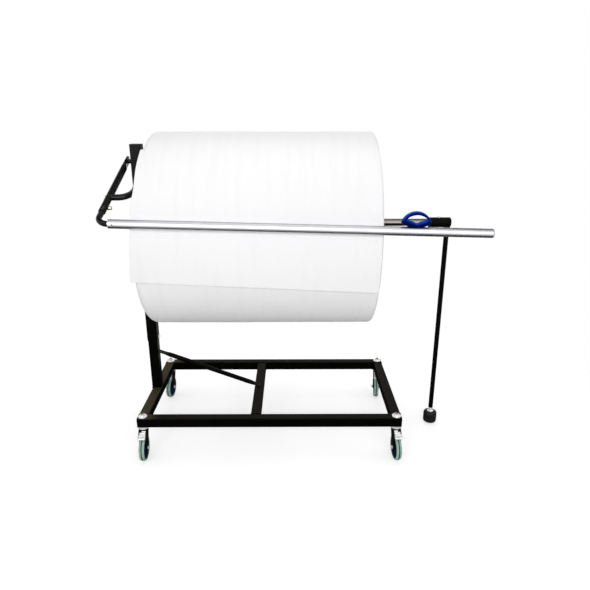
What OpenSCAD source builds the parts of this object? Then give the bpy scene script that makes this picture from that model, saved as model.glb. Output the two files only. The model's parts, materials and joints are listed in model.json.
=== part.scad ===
// Bubble wrap dispenser: wheeled floor stand with a roll shaft, a prop leg and a swing-up cutter bar.
// Millimetres. X runs along the shaft, Y away from the user, Z up.
// The origin is on the floor under the middle of the base.

/* [Base] */
// Length of the front and rear rails
base_l = 1530; // [1400:10:1700]
// Depth over both rails
base_d = 803; // [600:1:1000]
// Outside of the square frame tube
tube = 57; // [50:1:64]
// Wall of the square frame tube
tube_wall = 3; // [2:0.5:4]
// Outside corner radius of the frame tube
corner_r = 5; // [4.5:0.5:7]
// Axis of the centre cross tube, from the middle of the base
centre_x = -83; // [-300:1:100]

/* [Castors] */
// Floor to the underside of the rails
castor_h = 205; // [195:1:240]
// Wheel diameter
wheel_d = 150; // [120:1:155]
// Width of the tyre
wheel_w = 32; // [28:1:46]
// Distance from the swivel axis to the wheel axle
castor_trail = 32; // [28:1:56]
// Diameter of the threaded stem
stem_d = 16; // [12:1:20]
// Rest turn of the front left castor
turn_fl = 2; // [-180:1:180]
// Rest turn of the front right castor
turn_fr = 5; // [-180:1:180]
// Rest turn of the rear left castor
turn_rl = -6; // [-180:1:180]
// Rest turn of the rear right castor
turn_rr = -6; // [-180:1:180]

/* [Mast] */
// Axis of the mast, from the left end of the rails
mast_inset = 27; // [26:1:30]
// Wall of the mast sleeve
mast_wall = 2.7; // [2:0.1:4]
// Top of the mast above the floor
mast_top = 1768; // [1750:1:1900]
// Lower end of the mast sleeve above the floor
sleeve_bottom = 590; // [540:1:700]
// Length of upright inside the sleeve
sleeve_overlap = 320; // [150:10:500]

/* [Strut] */
// Outside diameter of the strut tube
strut_d = 28.6; // [22:0.1:36]
// Height of the strut's upper end above the base
strut_rise = 247; // [180:1:270]

/* [Shaft and roll] */
// Outside diameter of the roll shaft
shaft_d = 42.2; // [34:0.1:50]
// Wall of the roll shaft
shaft_wall = 3.6; // [2.5:0.1:5]
// Axis of the shaft above the floor
shaft_z = 1326; // [1300:1:1340]
// Free end of the shaft, from the middle of the base
shaft_end = 1046; // [1000:1:1100]
// Inside diameter of the paper core
core_d = 120; // [76:1:150]
// Wall of the paper core
core_wall = 6; // [3:0.5:10]
// Width of the wrap roll
roll_w = 1219; // [900:1:1240]
// Diameter of the wrap roll
roll_d = 1094; // [400:1:1100]
// Thickness of the closed outer turn of the roll
roll_skin = 4; // [3:0.5:8]
// Mast face to the near end of the roll
roll_gap = 67; // [60:1:80]
// Thickness of the loose web
web_t = 5; // [4:0.5:12]
// Length of web that hangs below the roll axis at its left edge
web_drop = 164; // [80:1:300]
// Extra length of web at its right edge
web_slant = 62; // [0:1:80]
// Sideways drift of the web's left lower corner
web_flare = 28; // [0:1:30]

/* [Arm] */
// Outside diameter of the arm tube
arm_d = 35.5; // [33.5:0.1:42]
// Length of the arm from the pivot to its lower end
arm_l = 530; // [520:1:560]
// Slope of the arm at rest
arm_angle = 22.85; // [20:0.05:24]
// Pivot below the top of the mast
pivot_drop = 95; // [60:1:100]
// Clear space between mast and arm on either side
arm_gap = 8; // [6:0.5:14]
// Diameter of the pivot bolt
pivot_d = 12; // [8:1:14]
// Outside diameter of the yoke leg
yoke_d = 31.75; // [28:0.05:35]
// Distance from the pivot to the yoke cross run
yoke_at = 392; // [360:1:400]
// Bend radius of the yoke leg
yoke_bend = 70; // [50:1:74]

/* [Cutter bar] */
// Distance from the pivot to the axis of the bar
reach = 634; // [626:1:680]
// Outside diameter of the elbow tube
elbow_d = 28.6; // [24:0.1:28.8]
// Wall of the elbow tube
elbow_wall = 2; // [1.5:0.1:3]
// Bend radius of the elbow
elbow_bend = 60; // [45:1:70]
// Outside diameter of the bar
bar_d = 44.4; // [38:0.1:46]
// Wall of the bar
bar_wall = 2.2; // [1.5:0.1:3]
// Length of the bar
bar_l = 1823; // [1500:1:1900]
// Droop of the bar toward its free end
bar_droop = 1.49; // [0:0.01:1.8]
// Width of the slot along the top of the bar
slot_w = 7; // [5:0.5:9]
// Cutter from the bar's left end
cutter_at = 1455; // [200:5:1500]

/* [Cutter handle] */
// Width of the handle
handle_w = 146; // [140:1:170]
// Thickness of the handle
handle_t = 36; // [30:1:40]
// Top of the handle above the bar axis
handle_top = 97; // [92:1:110]
// Widest level of the handle above the bar axis
handle_mid = 40; // [38:1:44]
// Lowest level of the handle above the bar axis
handle_low = 17; // [14:1:18]
// Width of the finger hole
grip_w = 98; // [80:1:104]
// Thickness of the band above the finger hole
grip_band = 16; // [12:1:20]

/* [Prop leg] */
// Outside diameter of the leg tube
leg_d = 28.6; // [24:0.1:36]
// Wall of the leg tube
leg_wall = 2.5; // [1.5:0.1:4]
// Outside diameter of the sleeve on the shaft
leg_sleeve_d = 58; // [54:1:66]
// Length of the sleeve on the shaft
leg_sleeve_l = 128; // [115:1:180]
// Lower end of the leg tube above the floor
leg_bottom = 104; // [98:1:130]
// Diameter of the rubber foot
foot_d = 84; // [60:1:110]
// Height of the rubber foot
foot_h = 78; // [60:1:80]

/* [Hidden] */
$fn = 64;
// cut-through allowance and small gaps
over = 1;
sliver = 0.2;
fit = 0.3;
run_fit = 0.05;
hole_fit = 0.25;
turn_gap = 0.4;
// base
half_l = base_l / 2;
end_x = half_l - tube / 2;
rail_y = (base_d - tube) / 2;
tube_z = castor_h + tube / 2;
base_top = castor_h + tube;
inner_w = tube - 2 * tube_wall;
plug_l = 12;
// castors
castor_x = [-end_x, end_x, -end_x, end_x];
castor_y = [-rail_y, -rail_y, rail_y, rail_y];
castor_turn = [turn_fl, turn_fr, turn_rl, turn_rr];
stem_r = stem_d / 2;
wheel_r = wheel_d / 2;
head_r = 32;
head_h = 12;
king_r = 9;
flange_r = 14;
flange_h = 4;
crown_t = 8;
crown_back = 28;
crown_front = head_r;
crown_top = castor_h - head_h - turn_gap;
crown_low = crown_top - crown_t;
cheek_t = 4;
cheek_in = wheel_w / 2 + 2.5;
cheek_out = cheek_in + cheek_t;
cheek_gap = 0.5;
axle_r = 6;
axle_nut_af = 18;
axle_nut_h = 8;
eye_r = 16;
tyre_wall = 10;
tyre_in = wheel_r - tyre_wall;
tyre_edge = 8;
groove_w = 3;
groove_d = 2;
hub_web = 24;
hub_boss_r = 16;
pin_r = 4;
pin_y = castor_trail + 6;
pin_z = crown_low - 14;
pin_eye = 9;
pedal_r = 8;
pedal_w = 44;
pedal_reach = 40;
pedal_t = 3;
pedal_tilt = 20;
pedal_rib = 8;
pedal_neck = 15;
pedal_low = 3;
washer_r = 25.5;
washer_t = 3;
nut_h = 13;
nut_af = 24;
stem_rise = 3;
// mast
mast = tube + 2 * (fit + mast_wall);
mast_r = corner_r + fit + mast_wall;
mast_in = mast - 2 * mast_wall;
mast_x = mast_inset - half_l;
mast_right = mast_x + mast / 2;
cap_t = 3;
cap_plug = 15;
joint_bolt_r = 5;
joint_bolt_z = sleeve_bottom + 20;
joint_af = 17;
joint_head = 6.4;
joint_tail = 6;
// strut
tab_w = 42;
tab_t = 5;
tab_l = 34;
tab_over = 16;
press_l = 40;
foot_shift = 15;
strut_x = mast_x + tube / 2;
strut_z = base_top + strut_rise;
strut_run = centre_x + foot_shift - strut_x;
strut_angle = atan(strut_rise / strut_run);
strut_l = sqrt(strut_run * strut_run + strut_rise * strut_rise);
// shaft and roll
shaft_r = shaft_d / 2;
shaft_start = mast_x - mast_in / 2;
socket_l = 45;
socket_wall = 6;
core_r = core_d / 2;
core_out = core_r + core_wall;
roll_r = roll_d / 2;
roll_z = shaft_z + shaft_r + fit - core_r;
roll_x = mast_right + roll_gap;
roll_face = 3;
web_in = roll_r + fit;
web_out = web_in + web_t;
web_wrap = 60;
web_arc = (web_out * web_out + web_in * web_in) / (2 * web_in);
web_inset = 1;
// arm and yoke
arm_r = arm_d / 2;
elbow_r = elbow_d / 2;
arm_bore = elbow_r + fit;
arm_x = mast_x - mast / 2 - arm_gap - arm_r;
yoke_r = yoke_d / 2;
yoke_x = mast_right + arm_gap + yoke_r;
yoke_span = yoke_x - arm_x;
yoke_wall = 2.5;
pivot_z = mast_top - pivot_drop;
pivot_r = pivot_d / 2;
pivot_af = 18;
pivot_head = 8;
flat_t = 12;
flat_l = 40;
flat_end = 16;
flat_r = 22;
flat_press = 35;
spacer_r = 12;
arm_bolt_r = 5;
arm_bolt_head = 9;
arm_bolt_depth = 18;
yoke_void = yoke_span - yoke_bend - over;
thumb_at = arm_l - 36;
thumb_r = 4;
thumb_boss_r = 9;
thumb_boss = 6;
thumb_head_r = 9;
thumb_head = 12;
thumb_neck = 2;
thumb_back = 2.6;
// elbow and bar
elbow_start = yoke_at + arm_bolt_r + 8;
elbow_tail = 45;
bar_r = bar_d / 2;
bar_in = bar_r - bar_wall;
bar_left = -elbow_tail / 2 - 0.5;
bar_right = bar_left + bar_l;
bush_play = 0.8;
bush_gap = 0.1;
rivet_r = 2.4;
rivet_head_r = 4.5;
rivet_head = 1.6;
bar_cap_plug = 20;
bar_cap_t = 6;
bar_cap_edge = 5;
slot_start = bar_left + 95;
slot_end = bar_right - 45;
// cutter
cutter_x = bar_left + cutter_at;
runner_gap = 0.5;
runner_l = 60;
neck_l = 50;
neck_w = slot_w - 0.6;
neck_top = bar_r + 4;
saddle_r = bar_r + turn_gap;
half_w = handle_w / 2;
top_rise = handle_top - handle_mid;
low_rise = handle_mid - handle_low;
top_arc = (half_w * half_w + top_rise * top_rise) / (2 * top_rise);
low_arc = (half_w * half_w + low_rise * low_rise) / (2 * low_rise);
grip_low = handle_mid;
grip_side = grip_low + 20;
grip_top = handle_top - grip_band;
grip_rise = grip_top - grip_side;
grip_arc = (grip_w * grip_w / 4 + grip_rise * grip_rise) / (2 * grip_rise);
blade_l = 44;
blade_tip = 28;
blade_in = 8;
blade_out = bar_r + 10;
blade_t = 0.8;
blade_z = neck_top + 0.8;
blade_gap = 0.1;
// prop leg
leg_r = leg_d / 2;
leg_x = shaft_end - 6;
leg_end = leg_x + 18.5;
leg_start = leg_end - leg_sleeve_l;
leg_sleeve_r = leg_sleeve_d / 2;
sleeve_bore = shaft_r + fit;
sleeve_depth = shaft_end + 4;
sleeve_edge = 8;
boss_r = leg_r + 4;
boss_drop = 12;
leg_top = shaft_z - leg_sleeve_r + 2;
set_x = leg_x - 51;
set_r = 5;
set_head_r = 8;
set_head = 6;
insert_h = 30;
stud_r = 8;
stud_low = foot_h - 33;
stud_top = leg_bottom + 24;
foot_flange_r = 20;
foot_flange_t = 2;
foot_nut_h = 14;
foot_r = foot_d / 2;
foot_edge = 16;
// colours
graphite = [0.16, 0.16, 0.17];
zinc = [0.75, 0.75, 0.72];
steel = [0.55, 0.56, 0.58];
silver = [0.80, 0.81, 0.82];
black = [0.07, 0.07, 0.08];
rubber = [0.20, 0.22, 0.23];
wrap = [0.92, 0.94, 0.95];
kraft = [0.66, 0.53, 0.38];
blue = [0.05, 0.20, 0.65];

function hex_r(af) = af / 2 / cos(30);

// Square with round corners
module rounded_square(w, r) {
    square([w - 2 * r, w], center = true);
    square([w, w - 2 * r], center = true);
    for (x = [-1, 1], y = [-1, 1])
        translate([x * (w / 2 - r), y * (w / 2 - r)])
            circle(r);
}

// Wall section of a square tube
module tube_section(w, r, wall) {
    difference() {
        rounded_square(w, r);
        rounded_square(w - 2 * wall, r - wall);
    }
}

// Frame tube along X, centred
module tube_x(l) {
    rotate([0, 90, 0])
        linear_extrude(l, center = true)
            tube_section(tube, corner_r, tube_wall);
}

// Frame tube along Y, centred
module tube_y(l) {
    rotate([90, 0, 0])
        linear_extrude(l, center = true)
            tube_section(tube, corner_r, tube_wall);
}

// Rod along X that starts at x
module rod_x(x, r, l) {
    translate([x, 0, 0])
        rotate([0, 90, 0])
            cylinder(r = r, h = l);
}

// Hexagon prism along X that starts at x
module hex_x(x, af, l) {
    translate([x, 0, 0])
        rotate([0, 90, 0])
            cylinder(r = hex_r(af), h = l, $fn = 6);
}

// Rod down the arm that starts s below the pivot
module rod_arm(s, r, l) {
    translate([0, -s, 0])
        rotate([90, 0, 0])
            cylinder(r = r, h = l);
}

// Frame of the arm: pivot at the origin, the arm runs along -Y
module on_arm() {
    translate([arm_x, 0, pivot_z])
        rotate([arm_angle, 0, 0])
            children();
}

// Frame of the bar: the middle of its elbow joint at the origin, the bar runs along +X
module on_bar() {
    on_arm()
        translate([elbow_bend + elbow_tail / 2, -reach, 0])
            rotate([-arm_angle, 0, 0])
                rotate([0, bar_droop, 0])
                    children();
}

// Frame of one castor: swivel axis at the origin, the wheel trails along -Y
module at_castor(i) {
    translate([castor_x[i], castor_y[i], 0])
        rotate([0, 0, castor_turn[i]])
            children();
}

// Frame of one wheel: axle along X through the origin
module at_wheel(i) {
    at_castor(i)
        translate([0, -castor_trail, wheel_r])
            children();
}

module rail(y) {
    difference() {
        translate([0, y, tube_z])
            tube_x(base_l);
        for (x = [-end_x, end_x])
            translate([x, y, castor_h - over])
                cylinder(r = stem_r + hole_fit, h = tube + 2 * over);
    }
}

module front_rail() {
    color(graphite)
        rail(-rail_y);
}

module rear_rail() {
    color(graphite)
        rail(rail_y);
}

module left_end_tube() {
    color(graphite)
        translate([-end_x, 0, tube_z])
            tube_y(base_d - 2 * tube);
}

module right_end_tube() {
    color(graphite)
        translate([end_x, 0, tube_z])
            tube_y(base_d - 2 * tube);
}

module centre_tube() {
    color(graphite)
        translate([centre_x, 0, tube_z])
            tube_y(base_d - 2 * tube);
}

// Plugs sit flush in the open rail ends
module rail_plugs() {
    color(black)
        for (x = [-1, 1], y = [-1, 1])
            translate([x * (half_l - plug_l / 2), y * rail_y, tube_z])
                rotate([0, 90, 0])
                    linear_extrude(plug_l, center = true)
                        rounded_square(inner_w, corner_r - tube_wall);
}

// Cross holes of the mast bolt
module joint_hole() {
    translate([mast_x, 0, joint_bolt_z])
        rod_x(-mast, joint_bolt_r + hole_fit, 2 * mast);
}

module upright() {
    color(graphite)
        difference() {
            translate([mast_x, 0, base_top])
                linear_extrude(sleeve_bottom + sleeve_overlap - base_top)
                    tube_section(tube, corner_r, tube_wall);
            joint_hole();
        }
}

module mast_sleeve() {
    color(graphite)
        difference() {
            translate([mast_x, 0, sleeve_bottom])
                linear_extrude(mast_top - cap_t - sleeve_bottom)
                    tube_section(mast, mast_r, mast_wall);
            joint_hole();
            translate([mast_x, 0, pivot_z])
                rod_x(-mast, pivot_r + hole_fit, 2 * mast);
            translate([mast_x, 0, shaft_z])
                rod_x(0, shaft_r + sliver, mast);
        }
}

module mast_cap() {
    color(black)
        translate([mast_x, 0, mast_top - cap_t]) {
            linear_extrude(cap_t)
                rounded_square(mast, mast_r);
            translate([0, 0, -cap_plug])
                linear_extrude(cap_plug)
                    rounded_square(mast_in, mast_r - mast_wall);
        }
}

module mast_bolt() {
    color(zinc)
        translate([mast_x, 0, joint_bolt_z]) {
            rod_x(-mast / 2, joint_bolt_r, mast + joint_head + joint_tail);
            hex_x(-mast / 2 - joint_head, joint_af, joint_head);
            hex_x(mast / 2, joint_af, joint_head);
        }
}

// Frame of the strut: upper end at the origin, the strut runs along +X
module on_strut() {
    translate([strut_x, 0, strut_z])
        rotate([0, strut_angle, 0])
            children();
}

// Round tube with both ends pressed to wider flat tabs
module strut() {
    color(graphite)
        difference() {
            on_strut() {
                intersection() {
                    rod_x(-tab_over, strut_d / 2, strut_l + 2 * tab_over);
                    rotate([90, 0, 0])
                        linear_extrude(2 * tab_w, center = true)
                            polygon([
                                [-tab_over, -tab_t / 2],
                                [tab_l, -tab_t / 2],
                                [tab_l + press_l, -strut_d],
                                [strut_l - tab_l - press_l, -strut_d],
                                [strut_l - tab_l, -tab_t / 2],
                                [strut_l + tab_over, -tab_t / 2],
                                [strut_l + tab_over, tab_t / 2],
                                [strut_l - tab_l, tab_t / 2],
                                [strut_l - tab_l - press_l, strut_d],
                                [tab_l + press_l, strut_d],
                                [tab_l, tab_t / 2],
                                [-tab_over, tab_t / 2]
                            ]);
                }
                translate([0, 0, -tab_t / 2])
                    linear_extrude(tab_t)
                        polygon([
                            [-tab_over, -tab_w / 2],
                            [tab_l, -tab_w / 2],
                            [tab_l + press_l, -strut_d / 3],
                            [strut_l - tab_l - press_l, -strut_d / 3],
                            [strut_l - tab_l, -tab_w / 2],
                            [strut_l + tab_over, -tab_w / 2],
                            [strut_l + tab_over, tab_w / 2],
                            [strut_l - tab_l, tab_w / 2],
                            [strut_l - tab_l - press_l, strut_d / 3],
                            [tab_l + press_l, strut_d / 3],
                            [tab_l, tab_w / 2],
                            [-tab_over, tab_w / 2]
                        ]);
            }
            translate([strut_x - tube, -tube, base_top])
                cube([tube, 2 * tube, 2 * strut_rise]);
            translate([centre_x - tube, -tube, base_top - tube])
                cube([2 * tube, 2 * tube, tube]);
        }
}

module shaft_socket() {
    color(graphite)
        translate([mast_right, 0, shaft_z])
            difference() {
                rod_x(0, shaft_r + socket_wall, socket_l);
                rod_x(-over, shaft_r + sliver, socket_l + 2 * over);
            }
}

module shaft() {
    color(steel)
        translate([0, 0, shaft_z])
            difference() {
                rod_x(shaft_start, shaft_r, shaft_end - shaft_start);
                rod_x(shaft_start - over, shaft_r - shaft_wall, shaft_end - shaft_start + 2 * over);
            }
}

// Loose end of the wrap: it leaves the roll's upper front as a crescent and hangs from the front
module web_tail() {
    color(wrap)
        translate([roll_x + web_inset, 0, roll_z]) {
            rotate([90, 0, 90])
                linear_extrude(roll_w - 2 * web_inset)
                    intersection() {
                        difference() {
                            translate([0, web_in - web_arc])
                                circle(web_arc);
                            circle(web_in);
                        }
                        polygon([[0, 0], [-2 * roll_r, 0], [-2 * roll_r, 2 * roll_r * tan(web_wrap)]]);
                    }
            translate([0, -web_in, 0])
                rotate([90, 0, 0])
                    linear_extrude(web_t)
                        polygon([
                            [0, 0],
                            [roll_w - 2 * web_inset, 0],
                            [roll_w - 2 * web_inset, -web_drop - web_slant],
                            [-web_flare, -web_drop]
                        ]);
        }
}

// Bolt through arm, mast and yoke leg, with its nut
module pivot_bolt() {
    color(steel)
        translate([0, 0, pivot_z]) {
            rod_x(arm_x - flat_t / 2 - fit, pivot_r, yoke_span + flat_t + 2 * fit + pivot_head + over);
            hex_x(arm_x - flat_t / 2 - fit - pivot_head, pivot_af, pivot_head);
            hex_x(yoke_x + flat_t / 2 + fit, pivot_af, pivot_head);
        }
}

// One spacer on each side of the mast
module pivot_spacers() {
    color(zinc)
        translate([0, 0, pivot_z])
            difference() {
                union() {
                    rod_x(arm_x + flat_t / 2 + fit, spacer_r, arm_r + arm_gap - flat_t / 2 - fit);
                    rod_x(mast_right, spacer_r, yoke_r + arm_gap - flat_t / 2 - fit);
                }
                rod_x(arm_x, pivot_r + run_fit, yoke_span);
            }
}

module castor_heads() {
    color(zinc)
        for (i = [0:3])
            at_castor(i) {
                translate([0, 0, castor_h - head_h])
                    cylinder(r = head_r, h = head_h);
                translate([0, 0, castor_h])
                    cylinder(r = stem_r, h = tube + washer_t + nut_h + stem_rise);
                translate([0, 0, crown_low - turn_gap])
                    cylinder(r = king_r, h = castor_h - crown_low);
                translate([0, 0, crown_low - turn_gap - flange_h])
                    cylinder(r = flange_r, h = flange_h);
            }
}

module corner_washers() {
    color(zinc)
        for (i = [0:3])
            translate([castor_x[i], castor_y[i], base_top])
                difference() {
                    cylinder(r = washer_r, h = washer_t);
                    translate([0, 0, -over])
                        cylinder(r = stem_r + hole_fit, h = washer_t + 2 * over);
                }
}

module corner_nuts() {
    color(zinc)
        for (i = [0:3])
            translate([castor_x[i], castor_y[i], base_top + washer_t])
                difference() {
                    cylinder(r = hex_r(nut_af), h = nut_h, $fn = 6);
                    translate([0, 0, -over])
                        cylinder(r = stem_r, h = nut_h + 2 * over);
                }
}

module paper_core() {
    color(kraft)
        translate([0, 0, roll_z])
            difference() {
                rod_x(roll_x, core_out, roll_w);
                rod_x(roll_x - over, core_r, roll_w + 2 * over);
            }
}

// Closed drum: the wound turns inside are mostly air and are left out
module wrap_roll() {
    color(wrap)
        translate([0, 0, roll_z])
            difference() {
                rod_x(roll_x, roll_r, roll_w);
                rod_x(roll_x - over, core_out, roll_w + 2 * over);
                difference() {
                    rod_x(roll_x + roll_face, roll_r - roll_skin, roll_w - 2 * roll_face);
                    rod_x(roll_x, core_out + roll_skin, roll_w);
                }
            }
}

// Tube end pressed flat around the pivot, then swelling to the round tube
module flat_eye(r) {
    translate([-flat_t / 2, -flat_l, -flat_r])
        cube([flat_t, flat_l + flat_end, 2 * flat_r]);
    translate([0, flat_end, 0])
        rod_x(-flat_t / 2, flat_r, flat_t);
    hull() {
        translate([-flat_t / 2, -flat_l, -flat_r])
            cube([flat_t, sliver, 2 * flat_r]);
        rod_arm(flat_l + flat_press - sliver, r, sliver);
    }
}

module arm_tube() {
    color(graphite)
        on_arm()
            difference() {
                union() {
                    flat_eye(arm_r);
                    rod_arm(flat_l + flat_press, arm_r, arm_l - flat_l - flat_press);
                    translate([0, -thumb_at, 0])
                        rod_x(0, thumb_boss_r, arm_r + thumb_boss);
                }
                rod_arm(flat_l + flat_press + over, arm_bore, arm_l);
                rod_x(-arm_d, pivot_r + run_fit, 2 * arm_d);
                translate([0, -yoke_at, 0])
                    rod_x(-arm_d, arm_bolt_r + hole_fit, 2 * arm_d);
                translate([0, -thumb_at, 0])
                    rod_x(0, thumb_r + run_fit, 2 * arm_d);
            }
}

// Path of the yoke leg: cross run, bend, then back along the mast's right side
module yoke_path(r, start, back) {
    translate([0, -yoke_at, 0])
        rod_x(start, r, yoke_span - yoke_bend - start);
    translate([yoke_span - yoke_bend, yoke_bend - yoke_at, 0])
        rotate([0, 0, -90])
            rotate_extrude(angle = 90)
                translate([yoke_bend, 0])
                    circle(r);
    translate([yoke_span, 0, 0])
        rod_arm(back, r, yoke_at - yoke_bend - back);
}

module yoke_leg() {
    color(graphite)
        on_arm()
            difference() {
                union() {
                    translate([yoke_span, 0, 0])
                        flat_eye(yoke_r);
                    yoke_path(yoke_r, 0, flat_l + flat_press);
                }
                yoke_path(yoke_r - yoke_wall, yoke_void, flat_l + flat_press + over);
                rod_arm(0, arm_r, arm_l);
                rod_x(0, pivot_r + run_fit, 2 * yoke_span);
                translate([0, -yoke_at, 0])
                    rod_x(0, arm_bolt_r, arm_r + arm_bolt_depth);
            }
}

module arm_bolt() {
    color(zinc)
        on_arm()
            translate([0, -yoke_at, 0]) {
                rod_x(-arm_r, arm_bolt_r, arm_d + arm_bolt_depth);
                rod_x(-arm_r - arm_bolt_head, 2 * arm_bolt_r, arm_bolt_head);
            }
}

module thumbscrew() {
    color(zinc)
        on_arm()
            translate([0, -thumb_at, 0]) {
                rod_x(arm_bore + thumb_back, thumb_r, arm_r + thumb_boss + thumb_neck - arm_bore - thumb_back);
                rod_x(arm_r + thumb_boss + thumb_neck, thumb_head_r, thumb_head);
            }
}

// Path of the elbow: down inside the arm, round the bend, into the bar
module elbow_path(r, extra) {
    rod_arm(elbow_start - extra, r, reach - elbow_bend - elbow_start + extra);
    translate([elbow_bend, elbow_bend - reach, 0])
        rotate([0, 0, 180])
            rotate_extrude(angle = 90)
                translate([elbow_bend, 0])
                    circle(r);
    translate([0, -reach, 0])
        rod_x(elbow_bend, r, elbow_tail + extra);
}

// Holes and shanks of the two rivets share this axis
module rivet_axis(r, l) {
    on_bar()
        rotate([90, 0, 0])
            cylinder(r = r, h = l, center = true);
}

module elbow_tube() {
    color(graphite)
        difference() {
            on_arm()
                difference() {
                    elbow_path(elbow_r, 0);
                    elbow_path(elbow_r - elbow_wall, over);
                }
            rivet_axis(rivet_r, 2 * bar_d);
        }
}

module bar_bush() {
    color(black)
        difference() {
            on_bar()
                difference() {
                    rod_x(bar_left, bar_in - bush_gap, elbow_tail);
                    rod_x(bar_left - over, elbow_r + bush_play, elbow_tail + 2 * over);
                }
            rivet_axis(rivet_r, 2 * bar_d);
        }
}

module bar_rivets() {
    color(silver)
        difference() {
            union() {
                rivet_axis(rivet_r, bar_d);
                rivet_axis(rivet_head_r, bar_d + 2 * rivet_head);
            }
            on_bar() {
                rod_x(-bar_d, elbow_r - elbow_wall - over, 2 * bar_d);
                difference() {
                    rod_x(-bar_d, bar_r, 2 * bar_d);
                    rotate([90, 0, 0])
                        cylinder(r = rivet_r, h = 2 * bar_d, center = true);
                }
            }
        }
}

module cutter_bar() {
    color(silver)
        difference() {
            on_bar()
                difference() {
                    rod_x(bar_left, bar_r, bar_l);
                    rod_x(bar_left - over, bar_in, bar_l + 2 * over);
                    translate([slot_start, -slot_w / 2, 0])
                        cube([slot_end - slot_start, slot_w, bar_d]);
                }
            rivet_axis(rivet_r, 2 * bar_d);
        }
}

module bar_cap() {
    color(black)
        on_bar()
            translate([bar_right, 0, 0])
                rotate([0, 90, 0]) {
                    translate([0, 0, -bar_cap_plug])
                        cylinder(r = bar_in, h = bar_cap_plug);
                    rotate_extrude() {
                        square([bar_r - bar_cap_edge, bar_cap_t]);
                        square([bar_r, bar_cap_t - bar_cap_edge]);
                        translate([bar_r - bar_cap_edge, bar_cap_t - bar_cap_edge])
                            intersection() {
                                circle(bar_cap_edge);
                                square(bar_cap_edge);
                            }
                    }
                }
}

// Runner inside the bar with a neck through the slot
module cutter_runner() {
    color(black)
        on_bar()
            translate([cutter_x, 0, 0]) {
                rod_x(-runner_l / 2, bar_in - runner_gap, runner_l);
                translate([-neck_l / 2, -neck_w / 2, 0])
                    cube([neck_l, neck_w, neck_top]);
            }
}

// Lens-shaped loop with a saddle over the bar
module cutter_handle() {
    color(blue)
        on_bar()
            translate([cutter_x, 0, 0])
                difference() {
                    rotate([90, 0, 0])
                        linear_extrude(handle_t, center = true)
                            difference() {
                                intersection() {
                                    translate([0, handle_top - top_arc])
                                        circle(top_arc);
                                    translate([0, handle_low + low_arc])
                                        circle(low_arc);
                                }
                                intersection() {
                                    translate([0, grip_top - grip_arc])
                                        circle(grip_arc);
                                    polygon([
                                        [0, grip_low],
                                        [grip_w / 2, grip_side],
                                        [grip_w / 2, handle_top],
                                        [-grip_w / 2, handle_top],
                                        [-grip_w / 2, grip_side]
                                    ]);
                                }
                            }
                    rod_x(-handle_w, saddle_r, 2 * handle_w);
                    translate([-neck_l / 2, -neck_w / 2, 0])
                        cube([neck_l, neck_w, neck_top]);
                    translate([-blade_l / 2 - blade_gap, blade_in - blade_gap, blade_z - blade_gap])
                        cube([blade_l + 2 * blade_gap, bar_d, blade_t + 2 * blade_gap]);
                }
}

// Thin plate whose rear edge reaches behind the bar
module cutter_blade() {
    color(silver)
        on_bar()
            translate([cutter_x, 0, blade_z])
                linear_extrude(blade_t)
                    polygon([
                        [-blade_l / 2, blade_in],
                        [blade_l / 2, blade_in],
                        [blade_l / 2, handle_t / 2],
                        [blade_tip / 2, blade_out],
                        [-blade_tip / 2, blade_out],
                        [-blade_l / 2, handle_t / 2]
                    ]);
}

// Sleeve with a closed round end and a boss that holds the leg
module leg_sleeve() {
    color(black)
        difference() {
            union() {
                translate([leg_start, 0, shaft_z])
                    rotate([0, 90, 0])
                        rotate_extrude() {
                            square([leg_sleeve_r, leg_sleeve_l - sleeve_edge]);
                            square([leg_sleeve_r - sleeve_edge, leg_sleeve_l]);
                            translate([leg_sleeve_r - sleeve_edge, leg_sleeve_l - sleeve_edge])
                                intersection() {
                                    circle(sleeve_edge);
                                    square(sleeve_edge);
                                }
                        }
                translate([leg_x, 0, shaft_z - leg_sleeve_r - boss_drop])
                    cylinder(r = boss_r, h = leg_sleeve_r);
            }
            translate([0, 0, shaft_z])
                rod_x(leg_start - over, sleeve_bore, sleeve_depth - leg_start + over);
            translate([leg_x, 0, leg_bottom])
                cylinder(r = leg_r, h = leg_top - leg_bottom);
            translate([set_x, 0, shaft_z])
                cylinder(r = set_r, h = leg_sleeve_d);
        }
}

module leg_set_screw() {
    color(zinc)
        translate([set_x, 0, shaft_z]) {
            translate([0, 0, sleeve_bore])
                cylinder(r = set_r, h = leg_sleeve_r - sleeve_bore);
            translate([0, 0, leg_sleeve_r])
                cylinder(r = set_head_r, h = set_head);
        }
}

module leg_tube() {
    color(black)
        translate([leg_x, 0, leg_bottom])
            difference() {
                cylinder(r = leg_r, h = leg_top - leg_bottom);
                translate([0, 0, -over])
                    cylinder(r = leg_r - leg_wall, h = leg_top - leg_bottom + 2 * over);
            }
}

module leg_insert() {
    color(steel)
        translate([leg_x, 0, leg_bottom])
            difference() {
                cylinder(r = leg_r - leg_wall, h = insert_h);
                translate([0, 0, -over])
                    cylinder(r = stud_r + run_fit, h = insert_h + 2 * over);
            }
}

module foot_stud() {
    color(zinc)
        translate([leg_x, 0, 0]) {
            translate([0, 0, stud_low])
                cylinder(r = stud_r, h = stud_top - stud_low);
            translate([0, 0, foot_h])
                cylinder(r = foot_flange_r, h = foot_flange_t);
        }
}

module foot_nut() {
    color(zinc)
        translate([leg_x, 0, foot_h + foot_flange_t])
            difference() {
                cylinder(r = hex_r(nut_af), h = foot_nut_h, $fn = 6);
                translate([0, 0, -over])
                    cylinder(r = stud_r, h = foot_nut_h + 2 * over);
            }
}

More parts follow.
